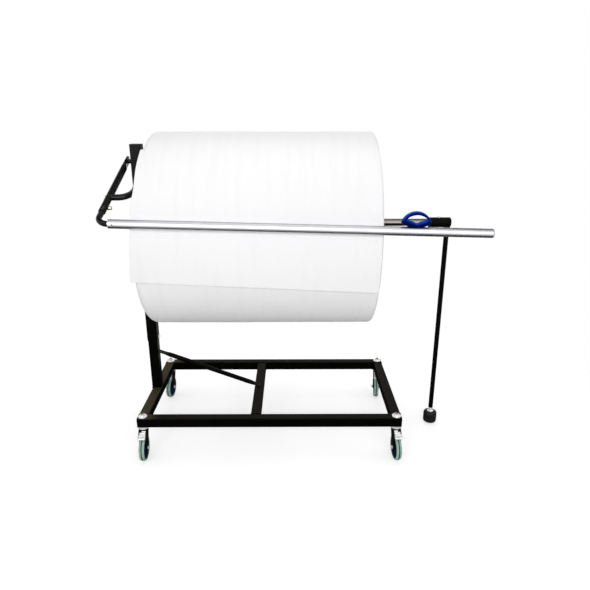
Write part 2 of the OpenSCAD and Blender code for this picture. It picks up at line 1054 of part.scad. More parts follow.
// Round foot with soft edges and a blind hole for the stud
module rubber_foot() {
    color(rubber)
        translate([leg_x, 0, 0])
            difference() {
                rotate_extrude() {
                    square([foot_r - foot_edge, foot_h]);
                    translate([0, foot_edge])
                        square([foot_r, foot_h - 2 * foot_edge]);
                    for (z = [foot_edge, foot_h - foot_edge])
                        translate([foot_r - foot_edge, z])
                            circle(foot_edge);
                }
                translate([0, 0, stud_low])
                    cylinder(r = stud_r, h = foot_h);
            }
}

// Side plates of a fork, from the crown to the axle, with ears for the pedal pin
module fork_plate() {
    polygon([
        [crown_back, crown_top],
        [-crown_front, crown_top],
        [-pin_y - pin_eye, pin_z],
        [-castor_trail - eye_r, wheel_r],
        [eye_r - castor_trail, wheel_r]
    ]);
    translate([-pin_y, pin_z])
        circle(pin_eye);
    translate([-castor_trail, wheel_r])
        circle(eye_r);
}

module fork(i) {
    color(steel)
        at_castor(i)
            difference() {
                union() {
                    for (x = [-cheek_out, cheek_in])
                        translate([x, 0, 0])
                            rotate([90, 0, 90])
                                linear_extrude(cheek_t)
                                    fork_plate();
                    translate([-cheek_in, -crown_front, crown_low])
                        cube([2 * cheek_in, crown_front + crown_back, crown_t]);
                    translate([0, -pin_y, pin_z])
                        rod_x(-cheek_in, pin_r, 2 * cheek_in);
                }
                translate([0, 0, crown_low - over])
                    cylinder(r = king_r + run_fit, h = crown_t + 2 * over);
                translate([0, -castor_trail, wheel_r])
                    rod_x(-2 * cheek_out, axle_r, 4 * cheek_out);
            }
}

module axle(i) {
    color(zinc)
        at_wheel(i) {
            rod_x(-cheek_out, axle_r, 2 * cheek_out);
            hex_x(-cheek_out - axle_nut_h, axle_nut_af, axle_nut_h);
            hex_x(cheek_out, axle_nut_af, axle_nut_h);
        }
}

module hub(i) {
    color(black)
        at_wheel(i)
            difference() {
                union() {
                    rod_x(-hub_web / 2, tyre_in, hub_web);
                    rod_x(cheek_gap - cheek_in, hub_boss_r, 2 * (cheek_in - cheek_gap));
                }
                rod_x(-2 * cheek_out, axle_r + run_fit, 4 * cheek_out);
            }
}

// Tyre with round shoulders and a groove round its middle
module tyre(i) {
    color(rubber)
        at_wheel(i)
            rotate([0, 90, 0])
                rotate_extrude()
                    difference() {
                        union() {
                            translate([tyre_in, -wheel_w / 2])
                                square([wheel_r - tyre_edge - tyre_in, wheel_w]);
                            translate([tyre_in, tyre_edge - wheel_w / 2])
                                square([wheel_r - tyre_in, wheel_w - 2 * tyre_edge]);
                            for (z = [-1, 1])
                                translate([wheel_r - tyre_edge, z * (wheel_w / 2 - tyre_edge)])
                                    circle(tyre_edge);
                        }
                        translate([wheel_r - groove_d, -groove_w / 2])
                            square([2 * groove_d, groove_w]);
                        translate([0, -wheel_w / 2])
                            square([tyre_in, wheel_w]);
                    }
}

// Brake pedal: sleeve on the pin, sloping tread that widens past the fork, stiff front edge
module pedal(i) {
    color(zinc)
        at_castor(i)
            translate([0, -pin_y, pin_z])
                difference() {
                    union() {
                        rod_x(cheek_gap - cheek_in, pedal_r, 2 * (cheek_in - cheek_gap));
                        rotate([pedal_tilt, 0, 0])
                            translate([0, 0, pedal_low]) {
                                linear_extrude(pedal_t)
                                    polygon([
                                        [-pedal_neck, 0],
                                        [-pedal_neck, -pin_eye - over],
                                        [-pedal_w / 2, -pin_eye - over],
                                        [-pedal_w / 2, -pedal_reach],
                                        [pedal_w / 2, -pedal_reach],
                                        [pedal_w / 2, -pin_eye - over],
                                        [pedal_neck, -pin_eye - over],
                                        [pedal_neck, 0]
                                    ]);
                                translate([-pedal_w / 2, -pedal_reach - pedal_t, -pedal_rib / 2])
                                    cube([pedal_w, pedal_t + sliver, pedal_rib]);
                            }
                    }
                    rod_x(-pedal_w, pin_r + run_fit, 2 * pedal_w);
                }
}

module fork_fl() { fork(0); }
module axle_fl() { axle(0); }
module hub_fl() { hub(0); }
module tyre_fl() { tyre(0); }
module pedal_fl() { pedal(0); }
module fork_fr() { fork(1); }
module axle_fr() { axle(1); }
module hub_fr() { hub(1); }
module tyre_fr() { tyre(1); }
module pedal_fr() { pedal(1); }
module fork_rl() { fork(2); }
module axle_rl() { axle(2); }
module hub_rl() { hub(2); }
module tyre_rl() { tyre(2); }
module pedal_rl() { pedal(2); }
module fork_rr() { fork(3); }
module axle_rr() { axle(3); }
module hub_rr() { hub(3); }
module tyre_rr() { tyre(3); }
module pedal_rr() { pedal(3); }

front_rail();
rear_rail();
left_end_tube();
right_end_tube();
centre_tube();
rail_plugs();
upright();
mast_sleeve();
mast_cap();
mast_bolt();
strut();
shaft_socket();
shaft();
web_tail();
pivot_bolt();
pivot_spacers();
castor_heads();
corner_washers();
corner_nuts();
paper_core();
wrap_roll();
arm_tube();
yoke_leg();
arm_bolt();
thumbscrew();
elbow_tube();
bar_bush();
bar_rivets();
cutter_bar();
bar_cap();
cutter_runner();
cutter_handle();
cutter_blade();
leg_sleeve();
leg_set_screw();
leg_tube();
leg_insert();
foot_stud();
foot_nut();
rubber_foot();
fork_fl();
axle_fl();
hub_fl();
tyre_fl();
pedal_fl();
fork_fr();
axle_fr();
hub_fr();
tyre_fr();
pedal_fr();
fork_rl();
axle_rl();
hub_rl();
tyre_rl();
pedal_rl();
fork_rr();
axle_rr();
hub_rr();
tyre_rr();
pedal_rr();
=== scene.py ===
"""Looks of a wheeled bubble wrap dispenser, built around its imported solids.

Metres, in the frame of the solids: X along the roll shaft, Y away from the user, Z up.
"""
import json
import logging
import math
from dataclasses import dataclass
from enum import Enum
from typing import Any, Callable, Sequence

import bpy
import numpy as np
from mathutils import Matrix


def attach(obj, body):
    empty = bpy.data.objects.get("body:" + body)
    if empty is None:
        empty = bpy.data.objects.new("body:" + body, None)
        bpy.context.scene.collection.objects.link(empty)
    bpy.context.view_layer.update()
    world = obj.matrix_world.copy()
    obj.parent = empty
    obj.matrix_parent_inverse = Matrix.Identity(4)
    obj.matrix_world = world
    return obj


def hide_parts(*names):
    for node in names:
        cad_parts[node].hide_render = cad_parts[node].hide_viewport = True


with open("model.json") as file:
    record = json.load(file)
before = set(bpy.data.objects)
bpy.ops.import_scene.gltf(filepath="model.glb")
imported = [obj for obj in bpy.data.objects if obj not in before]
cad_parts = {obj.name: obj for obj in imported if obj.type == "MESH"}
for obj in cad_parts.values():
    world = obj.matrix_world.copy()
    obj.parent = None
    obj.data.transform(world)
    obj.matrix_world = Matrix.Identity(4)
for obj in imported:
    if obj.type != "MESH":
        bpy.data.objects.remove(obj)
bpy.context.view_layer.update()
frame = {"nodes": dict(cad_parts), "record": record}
LOG = logging.getLogger("dispenser")
TAU = 2.0 * math.pi
Array = np.ndarray
Colour = tuple[float, float, float]
Point = tuple[float, float, float]


class Form(Enum):
    """What a grid of points makes, by whether it closes along and across; a rod's ends get faces."""

    SHEET = (False, False)
    ROD = (False, True)
    RING = (True, True)


class Axis(Enum):
    """An axis of the frame."""

    X = 0
    Y = 1
    Z = 2


def join(*parts: Any) -> Array:
    """Numbers and arrays end to end."""
    return np.concatenate([np.atleast_1d(part) for part in parts])


def points(*parts: Any) -> Array:
    """Points from their coordinates, which are brought to one shape."""
    return np.stack(np.broadcast_arrays(*parts), -1)


def smooth(x: Array, low: float, high: float) -> Array:
    """Smoothstep from 0 at low to 1 at high: 3t^2 - 2t^3 of the clipped share t."""
    t = np.clip((np.asarray(x, float) - low) / (high - low), 0.0, 1.0)
    return t * t * (3.0 - 2.0 * t)


def ring(count: int) -> Array:
    """Angles of that many points round a full turn, as one row."""
    return np.linspace(0.0, TAU, count, endpoint=False)[None, :]


def travelled(p: Array) -> Array:
    """Distance along a line of points, from 0 at the first."""
    return join(0.0, np.cumsum(np.linalg.norm(np.diff(p, axis=0), axis=1)))


def turned(p: Array, axis: Axis, angle: float) -> Array:
    """Turns points about an axis of the frame, by the right-hand rule.

    Args:
        p: points, (..., 3).
        axis: the axis.
        angle: degrees.

    Returns:
        The turned points.
    """
    c, s = math.cos(math.radians(angle)), math.sin(math.radians(angle))
    j, k = (axis.value + 1) % 3, (axis.value + 2) % 3
    q = p.copy()
    q[..., j], q[..., k] = c * p[..., j] - s * p[..., k], s * p[..., j] + c * p[..., k]
    return q


def oval(count: int, power: Array) -> tuple[Array, Array]:
    """Unit superellipses, one per power: sign(cos)|cos|^p and sign(sin)|sin|^p round a full turn."""
    waves = np.cos(ring(count)), np.sin(ring(count))
    return tuple(np.sign(w) * np.abs(w) ** power[:, None] for w in waves)


def sweep(path: Array, side: Any, up: Any, half_a: Array, half_b: Array, count: int,
          power: Any = 1.0) -> Array:
    """Carries a superellipse along a path: path + side * a * cos + up * b * sin.

    Args:
        path: centre points, (n, 3).
        side, up: unit vectors of both half axes, one or one per point.
        half_a, half_b: lengths of both half axes at each point.
        count: points round each section.
        power: exponent of the section, one or one per point; less than 1 is boxier.

    Returns:
        The grid of points, (n, count, 3).
    """
    n = len(path)
    c, s = oval(count, np.broadcast_to(power, (n,)))
    out, rise = (np.broadcast_to(v, (n, 3))[:, None, :] for v in (side, up))
    a, b = half_a[:, None, None], half_b[:, None, None]
    return path[:, None, :] + out * a * c[..., None] + rise * b * s[..., None]


def revolve_x(x: Array, r: Array, count: int) -> Array:
    """Turns a profile, (n,) or (n, count), round the X axis: (x, r cos a, r sin a)."""
    x, r, a = x.reshape(len(x), -1), r.reshape(len(r), -1), ring(count)
    return points(x, r * np.cos(a), r * np.sin(a))


def linked(name: str, data: bpy.types.ID) -> bpy.types.Object:
    """A new object of that data, put in the scene.

    Args:
        name: its name.
        data: mesh, light or camera.

    Returns:
        The object.
    """
    obj = bpy.data.objects.new(name, data)
    bpy.context.scene.collection.objects.link(obj)
    return obj


class Piece:
    """Collects grids into one mesh and hands it to the frame."""

    def __init__(self, name: str) -> None:
        """Starts an empty piece of that name."""
        self.name = name
        self.points: list[Array] = []
        self.faces: list[list[int]] = []
        self.uv: list[Array] = []
        self.count = 0

    @staticmethod
    def inside_out(p: Array, quads: Array) -> bool:
        """True where the quads of a closed form face inwards, by the sign of their volume."""
        q = p[quads] - p.mean(0)
        return sum(np.einsum("ij,ij->", q[:, 0], np.cross(q[:, k], q[:, k + 1])) for k in (1, 2)) < 0.0

    def grid(self, p: Array, form: Form = Form.RING, uv: Array | None = None) -> "Piece":
        """Adds a grid of points as quads, turned so that a closed form faces outwards.

        Args:
            p: points, (n, m, 3).
            form: what they make.
            uv: coordinates at the corners, with one more row or column where the grid closes.

        Returns:
            The piece itself.
        """
        n, m = p.shape[:2]
        rows, columns = (k if closes else k - 1 for k, closes in zip((n, m), form.value))
        i, j = np.meshgrid(np.arange(rows), np.arange(columns), indexing="ij")
        i, j = i.ravel(), j.ravel()
        i1, j1 = (i + 1) % n, (j + 1) % m
        quads = np.stack([i * m + j, i1 * m + j, i1 * m + j1, i * m + j1], -1)
        corner = np.zeros((len(quads), 4, 2))
        if uv is not None:
            corner = np.stack([uv[i, j], uv[i + 1, j], uv[i + 1, j + 1], uv[i, j + 1]], 1)
        ends = [np.arange(m)[::-1], np.arange(m) + (n - 1) * m] if form is Form.ROD else []
        flat = p.reshape(-1, 3)
        if form is not Form.SHEET and self.inside_out(flat, quads):
            quads, corner = quads[:, ::-1], corner[:, ::-1]
            ends = [end[::-1] for end in ends]
        self.points.append(flat)
        self.faces += (quads + self.count).tolist() + [(end + self.count).tolist() for end in ends]
        self.uv += [corner.reshape(-1, 2)] + [np.zeros((m, 2)) for _ in ends]
        self.count += len(flat)
        return self

    def made(self, body: str, finish: "Finish", slot: str, replaces: Sequence[str] = (),
             wall: float = 0.0) -> bpy.types.Object:
        """Makes the object, dresses it and lets it ride on its body.

        Args:
            body: the body that carries it.
            finish: its finish.
            slot: the record's material slot.
            replaces: solids that it stands for.
            wall: thickness added to an open sheet.

        Returns:
            The finished object.
        """
        mesh = bpy.data.meshes.new(self.name)
        mesh.from_pydata(join(*self.points).tolist(), [], self.faces)
        layer = mesh.uv_layers.new(name="UVMap")
        layer.data.foreach_set("uv", join(*self.uv).astype(np.float32).ravel())
        mesh.polygons.foreach_set("use_smooth", np.ones(len(mesh.polygons), bool))
        mesh.update()
        obj = linked(self.name, mesh)
        if wall:
            solid = obj.modifiers.new("wall", "SOLIDIFY")
            solid.thickness, solid.offset, solid.use_even_offset = wall, 0.0, True
        mesh.materials.append(finish.material())
        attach(obj, body)
        if replaces:
            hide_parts(*replaces)
        LOG.info("%s: %d faces on %s", self.name, len(mesh.polygons), body)
        return obj


def math_node(operation: str, swapped: bool = False) -> Callable[..., "Sock"]:
    """A method for Sock that adds one Math node.

    Args:
        operation: the node's operation.
        swapped: puts the other value first.

    Returns:
        The method, which takes the other value where there is one.
    """
    def method(self: "Sock", other: Any = 0.0) -> "Sock":
        """Adds the node."""
        return self.net.math(operation, *((other, self) if swapped else (self, other)))

    return method


class Sock:
    """A shader socket with arithmetic; each operator adds one Math node."""

    __add__ = __radd__ = math_node("ADD")
    __sub__, __rsub__ = math_node("SUBTRACT"), math_node("SUBTRACT", swapped=True)
    __mul__ = __rmul__ = math_node("MULTIPLY")
    __truediv__, __pow__, __abs__ = math_node("DIVIDE"), math_node("POWER"), math_node("ABSOLUTE")
    sine, fraction = math_node("SINE"), math_node("FRACT")
    least, most = math_node("MINIMUM"), math_node("MAXIMUM")

    def __init__(self, net: "Net", socket: Any) -> None:
        """Wraps a socket of that net."""
        self.net, self.socket = net, socket

    def step(self, low: float, high: float) -> "Sock":
        """Eases from 0 at low to 1 at high, with low above high for a falling step."""
        return self.net.add("ShaderNodeMapRange", {"Value": self, "From Min": low, "From Max": high},
                            interpolation_type="SMOOTHSTEP")


class Net:
    """The node tree of one material, or of the world."""

    def __init__(self, owner: bpy.types.Material | bpy.types.World) -> None:
        """Takes over the owner's tree and empties it."""
        owner.use_nodes = True
        self.tree = owner.node_tree
        self.tree.nodes.clear()

    def add(self, kind: str, sockets: dict[Any, Any], out: Any = 0, **settings: Any) -> Sock:
        """Adds one node.

        Args:
            kind: the node's type.
            sockets: values or links by input name or number.
            out: the output that is returned.
            settings: properties, set first.

        Returns:
            The wrapped output socket.
        """
        node = self.tree.nodes.new(kind)
        for key, value in settings.items():
            setattr(node, key, value)
        for key, value in sockets.items():
            if isinstance(value, Sock):
                self.tree.links.new(value.socket, node.inputs[key])
            elif node.inputs[key].type == "RGBA":
                node.inputs[key].default_value = (*value, 1.0)
            else:
                node.inputs[key].default_value = value
        return Sock(self, node.outputs[out] if len(node.outputs) else None)

    def math(self, operation: str, a: Any, b: Any) -> Sock:
        """One Math node on two values."""
        return self.add("ShaderNodeMath", {0: a, 1: b}, operation=operation)

    def mix(self, share: Any, a: Any, b: Any) -> Sock:
        """Colour a turning into colour b by share."""
        return self.add("ShaderNodeMix", {0: share, 6: a, 7: b}, 2, data_type="RGBA")

    def coordinate(self, kind: str) -> Sock:
        """One of the piece's own coordinates: Object, Normal or UV."""
        return self.add("ShaderNodeTexCoord", {}, kind)

    def split(self, vector: Sock, axis: Axis) -> Sock:
        """One part of a vector."""
        return self.add("ShaderNodeSeparateXYZ", {0: vector}, axis.value)

    def place(self, stretch: Point) -> Sock:
        """Object coordinates, scaled along each axis."""
        return self.add("ShaderNodeMapping", {"Vector": self.coordinate("Object"), "Scale": stretch})

    def noise(self, scale: float, detail: float, vector: Sock | None = None) -> Sock:
        """Fractal noise of that many cells a metre."""
        vector = vector or self.coordinate("Object")
        return self.add("ShaderNodeTexNoise", {"Vector": vector, "Scale": scale, "Detail": detail})

    def along(self, axis: Axis) -> Sock:
        """Object coordinate along one axis."""
        return self.split(self.coordinate("Object"), axis)

    def facing_up(self, low: float = 0.3, high: float = 0.95) -> Sock:
        """Eases from 0 to 1 as the upward part of the piece's own normal goes from low to high."""
        return self.split(self.coordinate("Normal"), Axis.Z).step(low, high)

    def uv(self) -> tuple[Sock, Sock]:
        """The piece's UV coordinates, in metres along the surface unless its finish says otherwise."""
        both = self.coordinate("UV")
        return self.split(both, Axis.X), self.split(both, Axis.Y)

    def bump(self, height: Sock, depth: float, strength: float) -> Sock:
        """A Bump node whose full height is depth metres."""
        return self.add("ShaderNodeBump", {"Height": height, "Distance": depth, "Strength": strength})

    def surface(self, **sockets: Any) -> None:
        """Ends the tree in one Principled shader with these inputs, underscores for spaces."""
        inputs = {key.replace("_", " "): value for key, value in sockets.items()}
        self.out(self.add("ShaderNodeBsdfPrincipled", inputs))

    def out(self, shader: Sock, kind: str = "Material") -> None:
        """Ends the tree in that shader."""
        self.add(f"ShaderNodeOutput{kind}", {"Surface": shader})


def scaled(colour: Colour, share: float) -> Colour:
    """A share of a colour."""
    return tuple(share * c for c in colour)


@dataclass(frozen=True)
class Finish:
    """A named finish; the material is made once and shared."""

    name: str

    def material(self) -> bpy.types.Material:
        """Makes the material on first use.

        Returns:
            The shared material.
        """
        found = bpy.data.materials.get(self.name)
        if found is None:
            found = bpy.data.materials.new(self.name)
            self.draw(Net(found))
        return found

    def draw(self, net: Net) -> None:
        """Writes the finish's nodes into the empty net of its material."""
        raise NotImplementedError


@dataclass(frozen=True)
class PowderCoat(Finish):
    """Baked powder paint; its top faces take the dust colour, partly dust and partly painted sheen. Where
    such colours are given, it is painted paler between two heights as painted light, and more dust has
    settled between two places along X."""

    colour: Colour
    # Colour of the top faces: dust, and painted sheen that stands in for their lighter look.
    dust: Colour
    rough: float
    sheen: float
    peel: float = 0.5
    # Painted light: a paler colour for the paint above the heights that follow.
    painted_light_high: Colour | None = None
    ramp: tuple[float, float] = (1.15, 1.60)
    settled: Colour | None = None
    settle: tuple[float, float] = (-0.62, -0.735)

    def draw(self, net: Net) -> None:
        """Fine noise lifts the surface, wide noise varies colour and gloss; top faces get dust and painted
        sheen.
        """
        peel = net.noise(620.0, 2.0)
        mottle = net.noise(11.0, 4.0)
        speck = net.noise(340.0, 1.0).step(0.68, 0.78)
        # Top faces: real dust, and painted sheen that stands in for how they catch the light.
        dust_and_sheen = net.facing_up() * (0.35 + 0.65 * net.noise(26.0, 3.0))
        base = net.mix(mottle.step(0.35, 0.75), self.colour, scaled(self.colour, 1.7))
        # Painted light: the paint turns paler above a height, as where it is lit more.
        if self.painted_light_high:
            base = net.mix(net.along(Axis.Z).step(*self.ramp), base, self.painted_light_high)
        base = net.mix((dust_and_sheen * 0.8 + speck * 0.25).least(1.0), base, self.dust)
        if self.settled:
            base = net.mix(dust_and_sheen * net.along(Axis.X).step(*self.settle), base, self.settled)
        net.surface(Base_Color=base, Roughness=self.rough + mottle * 0.14 + dust_and_sheen * 0.10,
                    Specular_IOR_Level=self.sheen, Normal=net.bump(peel, 0.00035, self.peel))


@dataclass(frozen=True)
class ZincPlate(Finish):
    """Bright zinc plating with a faint warm and cool cast."""

    bright: float
    warm: float
    metal: float = 1.0
    mark: Colour = (0.45, 0.44, 0.42)

    def draw(self, net: Net) -> None:
        """Wide noise drifts the tint, fine noise gives the spangle and handling marks."""
        drift = net.noise(38.0, 3.0)
        fine = net.noise(900.0, 2.0)
        marks = net.noise(150.0, 4.0).step(0.55, 0.80)
        b, w = self.bright, self.warm
        tint = net.mix(drift.step(0.35, 0.65), (b + w, b, b - 2 * w), (b - w, b - 0.4 * w, b + w))
        net.surface(Base_Color=net.mix(marks * 0.45, tint, self.mark), Metallic=self.metal,
                    Roughness=0.24 + fine * 0.16 + drift * 0.06, Normal=net.bump(fine, 0.00008, 0.4))


@dataclass(frozen=True)
class DrawnMetal(Finish):
    """Drawn tube: die lines along X, soft sheen, dull spots."""

    colour: Colour
    rough: float
    # Shares of the tone left on faces that look up and down: painted dark reflection and painted shade.
    above: float = 1.0
    below: float = 1.0

    def draw(self, net: Net) -> None:
        """Noise squeezed across the tube makes the long die lines; where shares are given, what looks up or
        down keeps only a share of the tone, painted dark reflection and painted shade on the tube's upper
        and lower faces."""
        lines = net.noise(1.0, 3.0, net.place((1.6, 900.0, 900.0)))
        cloud = net.noise(7.0, 4.0)
        dull = cloud.step(0.35, 0.8) * 0.5 + lines * 0.25
        base = net.mix(dull, self.colour, scaled(self.colour, 0.72))
        # Painted reflection and shade: faces that look up or down are darkened.
        if self.above < 1.0 or self.below < 1.0:
            base = net.mix(net.facing_up(0.45, 0.80), base, scaled(self.colour, self.above))
            base = net.mix(net.facing_up(0.10, -0.25), base, scaled(self.colour, self.below))
        net.surface(Base_Color=base, Metallic=1.0, Roughness=self.rough + lines * 0.12 + cloud * 0.08,
                    Normal=net.bump(lines, 0.00006, 0.5))


@dataclass(frozen=True)
class Moulded(Finish):
    """Moulded plastic or nylon with a fine spark texture."""

    colour: Colour
    rough: float
    grain: float = 1400.0
    sheen: float = 0.3
    # Colour of painted shade on faces that look down.
    under: Colour | None = None
    # Colour of painted highlight on faces that look up.
    painted_highlight: Colour | None = None

    def draw(self, net: Net) -> None:
        """Fine noise is the mould's texture, wide noise the flow and handling; where both colours are
        given, faces that look down get painted shade and faces that look up a painted highlight."""
        fine = net.noise(self.grain, 2.0)
        flow = net.noise(24.0, 3.0)
        scuff = net.noise(90.0, 5.0, net.place((1.0, 1.0, 3.0))).step(0.62, 0.80)
        paler = tuple(min(1.0, 1.35 * c + 0.006) for c in self.colour)
        base = net.mix(flow.step(0.4, 0.8) * 0.7, self.colour, paler)
        # Painted shade below and painted highlight on top.
        if self.under and self.painted_highlight:
            base = net.mix(net.facing_up(0.50, 0.08), base, self.under)
            base = net.mix(net.facing_up(0.45, 0.85), base, self.painted_highlight)
        net.surface(Base_Color=base, Roughness=self.rough + fine * 0.08 + scuff * 0.16,
                    Specular_IOR_Level=self.sheen, Normal=net.bump(fine, 0.0001, 0.3))


@dataclass(frozen=True)
class Rubber(Finish):
    """Vulcanised rubber, dusty where it meets the floor."""

    colour: Colour
    dust: Colour
    groove: Colour | None = None

    def draw(self, net: Net) -> None:
        """Mid noise is floor dust and scuffs, fine noise the grain; painted shade darkens the groove, found
        by the first UV coordinate, the place across the tread."""
        grain = net.noise(1100.0, 3.0)
        worn = net.noise(55.0, 5.0).step(0.42, 0.75)
        base = net.mix(worn * 0.75 + grain * 0.15, self.colour, self.dust)
        # Painted shade in the parting groove.
        if self.groove:
            base = net.mix(abs(net.uv()[0]).step(0.0042, 0.0024) * 0.95, base, self.groove)
        net.surface(Base_Color=base, Roughness=0.55 + worn * 0.2 + grain * 0.08,
                    Specular_IOR_Level=0.3, Normal=net.bump(grain + worn * 0.6, 0.0003, 0.5))


@dataclass(frozen=True)
class BubbleFilm(Finish):
    """Milky bubble film: rows of round bubbles in a close-packed pattern under a flat film."""

    pitch: float
    colour: Colour

    @property
    def row(self) -> float:
        """Distance after which the rows repeat."""
        return self.pitch * math.sqrt(3.0)

    def draw(self, net: Net) -> None:
        """Two shifted lattices give the nearest bubble centre, whose distance makes the dome; noise
        adds creases, haze and long streaks round the roll."""
        u, v = net.uv()
        lattice = []
        for shift in (0.0, 0.5):
            a = ((u / self.pitch + shift).fraction() - 0.5) * self.pitch
            b = ((v / self.row + shift).fraction() - 0.5) * self.row
            lattice.append(a * a + b * b)
        near = lattice[0].least(lattice[1]) ** 0.5
        dome = (near / (0.5 * self.pitch)).step(0.98, 0.55)
        crease = net.noise(5.0, 5.0, net.place((0.5, 1.0, 1.0)))
        haze = net.noise(2.2, 3.0).step(0.4, 0.75)
        streak = net.noise(1.0, 3.0, net.place((34.0, 2.0, 2.0))).step(0.50, 0.72)
        base = net.mix(dome * 0.25 + haze * 0.30 + streak * 0.30, self.colour, scaled(self.colour, 0.93))
        net.surface(Base_Color=base, Roughness=0.50 - dome * 0.10 + crease * 0.10,
                    Specular_IOR_Level=0.35, Normal=net.bump(dome * 0.5 + crease * 2.0, 0.0009, 0.35))


@dataclass(frozen=True)
class WoundEdge(Finish):
    """Cut edges of the wound turns, seen at the roll's ends."""

    colour: Colour
    shade: Colour

    def draw(self, net: Net) -> None:
        """The first UV coordinate counts turns along the spiral; a sine of it draws the gaps."""
        gap = (net.uv()[0] * TAU).sine().step(0.25, -0.95)
        ragged = net.noise(240.0, 3.0)
        deep = (gap * (0.6 + 0.6 * ragged)).least(1.0)
        dirt = net.noise(12.0, 3.0).step(0.4, 0.8)
        net.surface(Base_Color=net.mix(deep * 0.55 + dirt * 0.15, self.colour, self.shade),
                    Roughness=0.45 + ragged * 0.15, Specular_IOR_Level=0.3,
                    Normal=net.bump((1.0 - gap) + ragged * 0.6, 0.0012, 0.5))


@dataclass(frozen=True)
class CoreBoard(Finish):
    """Spiral wound paper board with its lapped seams."""

    colour: Colour
    pale: Colour
    lap: Colour

    def draw(self, net: Net) -> None:
        """A slanted sine draws the lapped seam, stretched noise the paper's fibre."""
        seam = (net.along(Axis.X) * 48.0 + net.along(Axis.Z) * 60.0).sine().step(0.94, 1.0)
        fibre = net.noise(1.0, 4.0, net.place((60.0, 500.0, 500.0)))
        base = net.mix(fibre * 0.6, self.colour, self.pale)
        net.surface(Base_Color=net.mix(seam * 0.6, base, self.lap), Roughness=0.72 + fibre * 0.15,
                    Normal=net.bump(fibre - seam, 0.0003, 0.5))


# The second colour of each paint lies on its top faces: dust, and painted sheen.
PAINT = PowderCoat("paint_black", (0.0014, 0.0013, 0.0012), (0.013, 0.0115, 0.0090), 0.34, 0.02,
                   settled=(0.075, 0.060, 0.034))
PAINT_ARM = PowderCoat("paint_arm", (0.0024, 0.0023, 0.0022), (0.010, 0.009, 0.008), 0.07, 0.22, peel=0.12)
PAINT_LEG = PowderCoat("paint_leg", (0.0020, 0.0018, 0.0018), (0.014, 0.013, 0.013), 0.42, 0.03)
# PAINT_MAST's last colour is painted light: its upper part is painted paler.
PAINT_MAST = PowderCoat("paint_mast", (0.0016, 0.0014, 0.0011), (0.030, 0.026, 0.022), 0.38, 0.03,
                        painted_light_high=(0.0190, 0.0178, 0.0172))
FORK = PowderCoat("paint_fork", (0.0065, 0.0065, 0.0068), (0.030, 0.027, 0.022), 0.40, 0.06)
ZINC = ZincPlate("zinc_bright", 0.95, 0.010, 0.36)
ZINC_PINK = ZincPlate("zinc_rosy", 0.74, 0.09)
THREAD = DrawnMetal("thread_oiled", (0.16, 0.155, 0.15), 0.36)
STEEL = DrawnMetal("steel_drawn", (0.42, 0.41, 0.42), 0.30)
# above and below on these tubes are painted dark reflection and painted shade.
STEEL_DARK = DrawnMetal("steel_dark", (0.30, 0.265, 0.24), 0.30, above=0.55, below=0.15)
ALUMINIUM = DrawnMetal("aluminium_drawn", (0.74, 0.733, 0.775), 0.27, above=0.60)
RIVET = DrawnMetal("rivet_dark", (0.26, 0.25, 0.27), 0.34)
BLADE = DrawnMetal("blade_ground", (0.70, 0.71, 0.73), 0.20)
BLACK = Moulded("plastic_black", (0.010, 0.010, 0.011), 0.46)
GREY_CAP = Moulded("plastic_grey", (0.42, 0.42, 0.43), 0.40)
HUB = Moulded("nylon_hub", (0.0022, 0.0080, 0.032), 0.40, sheen=0.08)
# BLUE's last two colours are painted shade on its lower faces and painted highlight on its upper faces.
BLUE = Moulded("plastic_blue", (0.0006, 0.030, 0.360), 0.24, grain=1800.0, sheen=0.015,
               under=(0.0004, 0.0034, 0.056), painted_highlight=(0.0035, 0.088, 0.600))
# TYRE's last colour is painted shade in its groove.
TYRE = Rubber("rubber_tyre", (0.26, 0.43, 0.35), (0.55, 0.66, 0.60), groove=(0.030, 0.022, 0.018))
FOOT = Rubber("rubber_foot", (0.0045, 0.0045, 0.0042), (0.020, 0.019, 0.017))
FILM = BubbleFilm("film_bubble", 0.0111, (0.913, 0.907, 0.918))
EDGE = WoundEdge("film_edge", (0.86, 0.87, 0.885), (0.60, 0.62, 0.65))
BOARD = CoreBoard("core_board", (0.42, 0.29, 0.17), (0.56, 0.42, 0.27), (0.27, 0.18, 0.10))

CAD_FINISH: dict[str, Finish] = {
    "frame_paint": PAINT, "black_paint": PAINT_LEG, "fork_paint": FORK, "zinc": ZINC, "steel": STEEL,
    "aluminium": ALUMINIUM, "blade_steel": BLADE, "black_plastic": BLACK, "hub_plastic": HUB,
    "blue_plastic": BLUE, "wrap": FILM, "kraft": BOARD, "rubber": TYRE,
}
NODE_FINISH: dict[str, Finish] = {
    "elbow_tube": PAINT_ARM, "thumbscrew": ZINC_PINK, "shaft": STEEL_DARK, "bar_rivets": RIVET,
    "rubber_foot": FOOT, "bar_cap": GREY_CAP, "mast_sleeve": PAINT_MAST, "pivot_spacers": PAINT_ARM,
}


class CarriedSolids:
    """The solids that keep their shape and get a better finish."""

    def dress(self) -> None:
        """Gives each solid the finish of its slot, or its own."""
        for part in frame["record"]["subparts"]:
            name, slot = part["node"], part["material_slot"]
            obj = frame["nodes"][name]
            obj.data.materials.clear()
            obj.data.materials.append(NODE_FINISH.get(name, CAD_FINISH[slot]).material())
        LOG.info("dressed %d solids", len(frame["nodes"]))


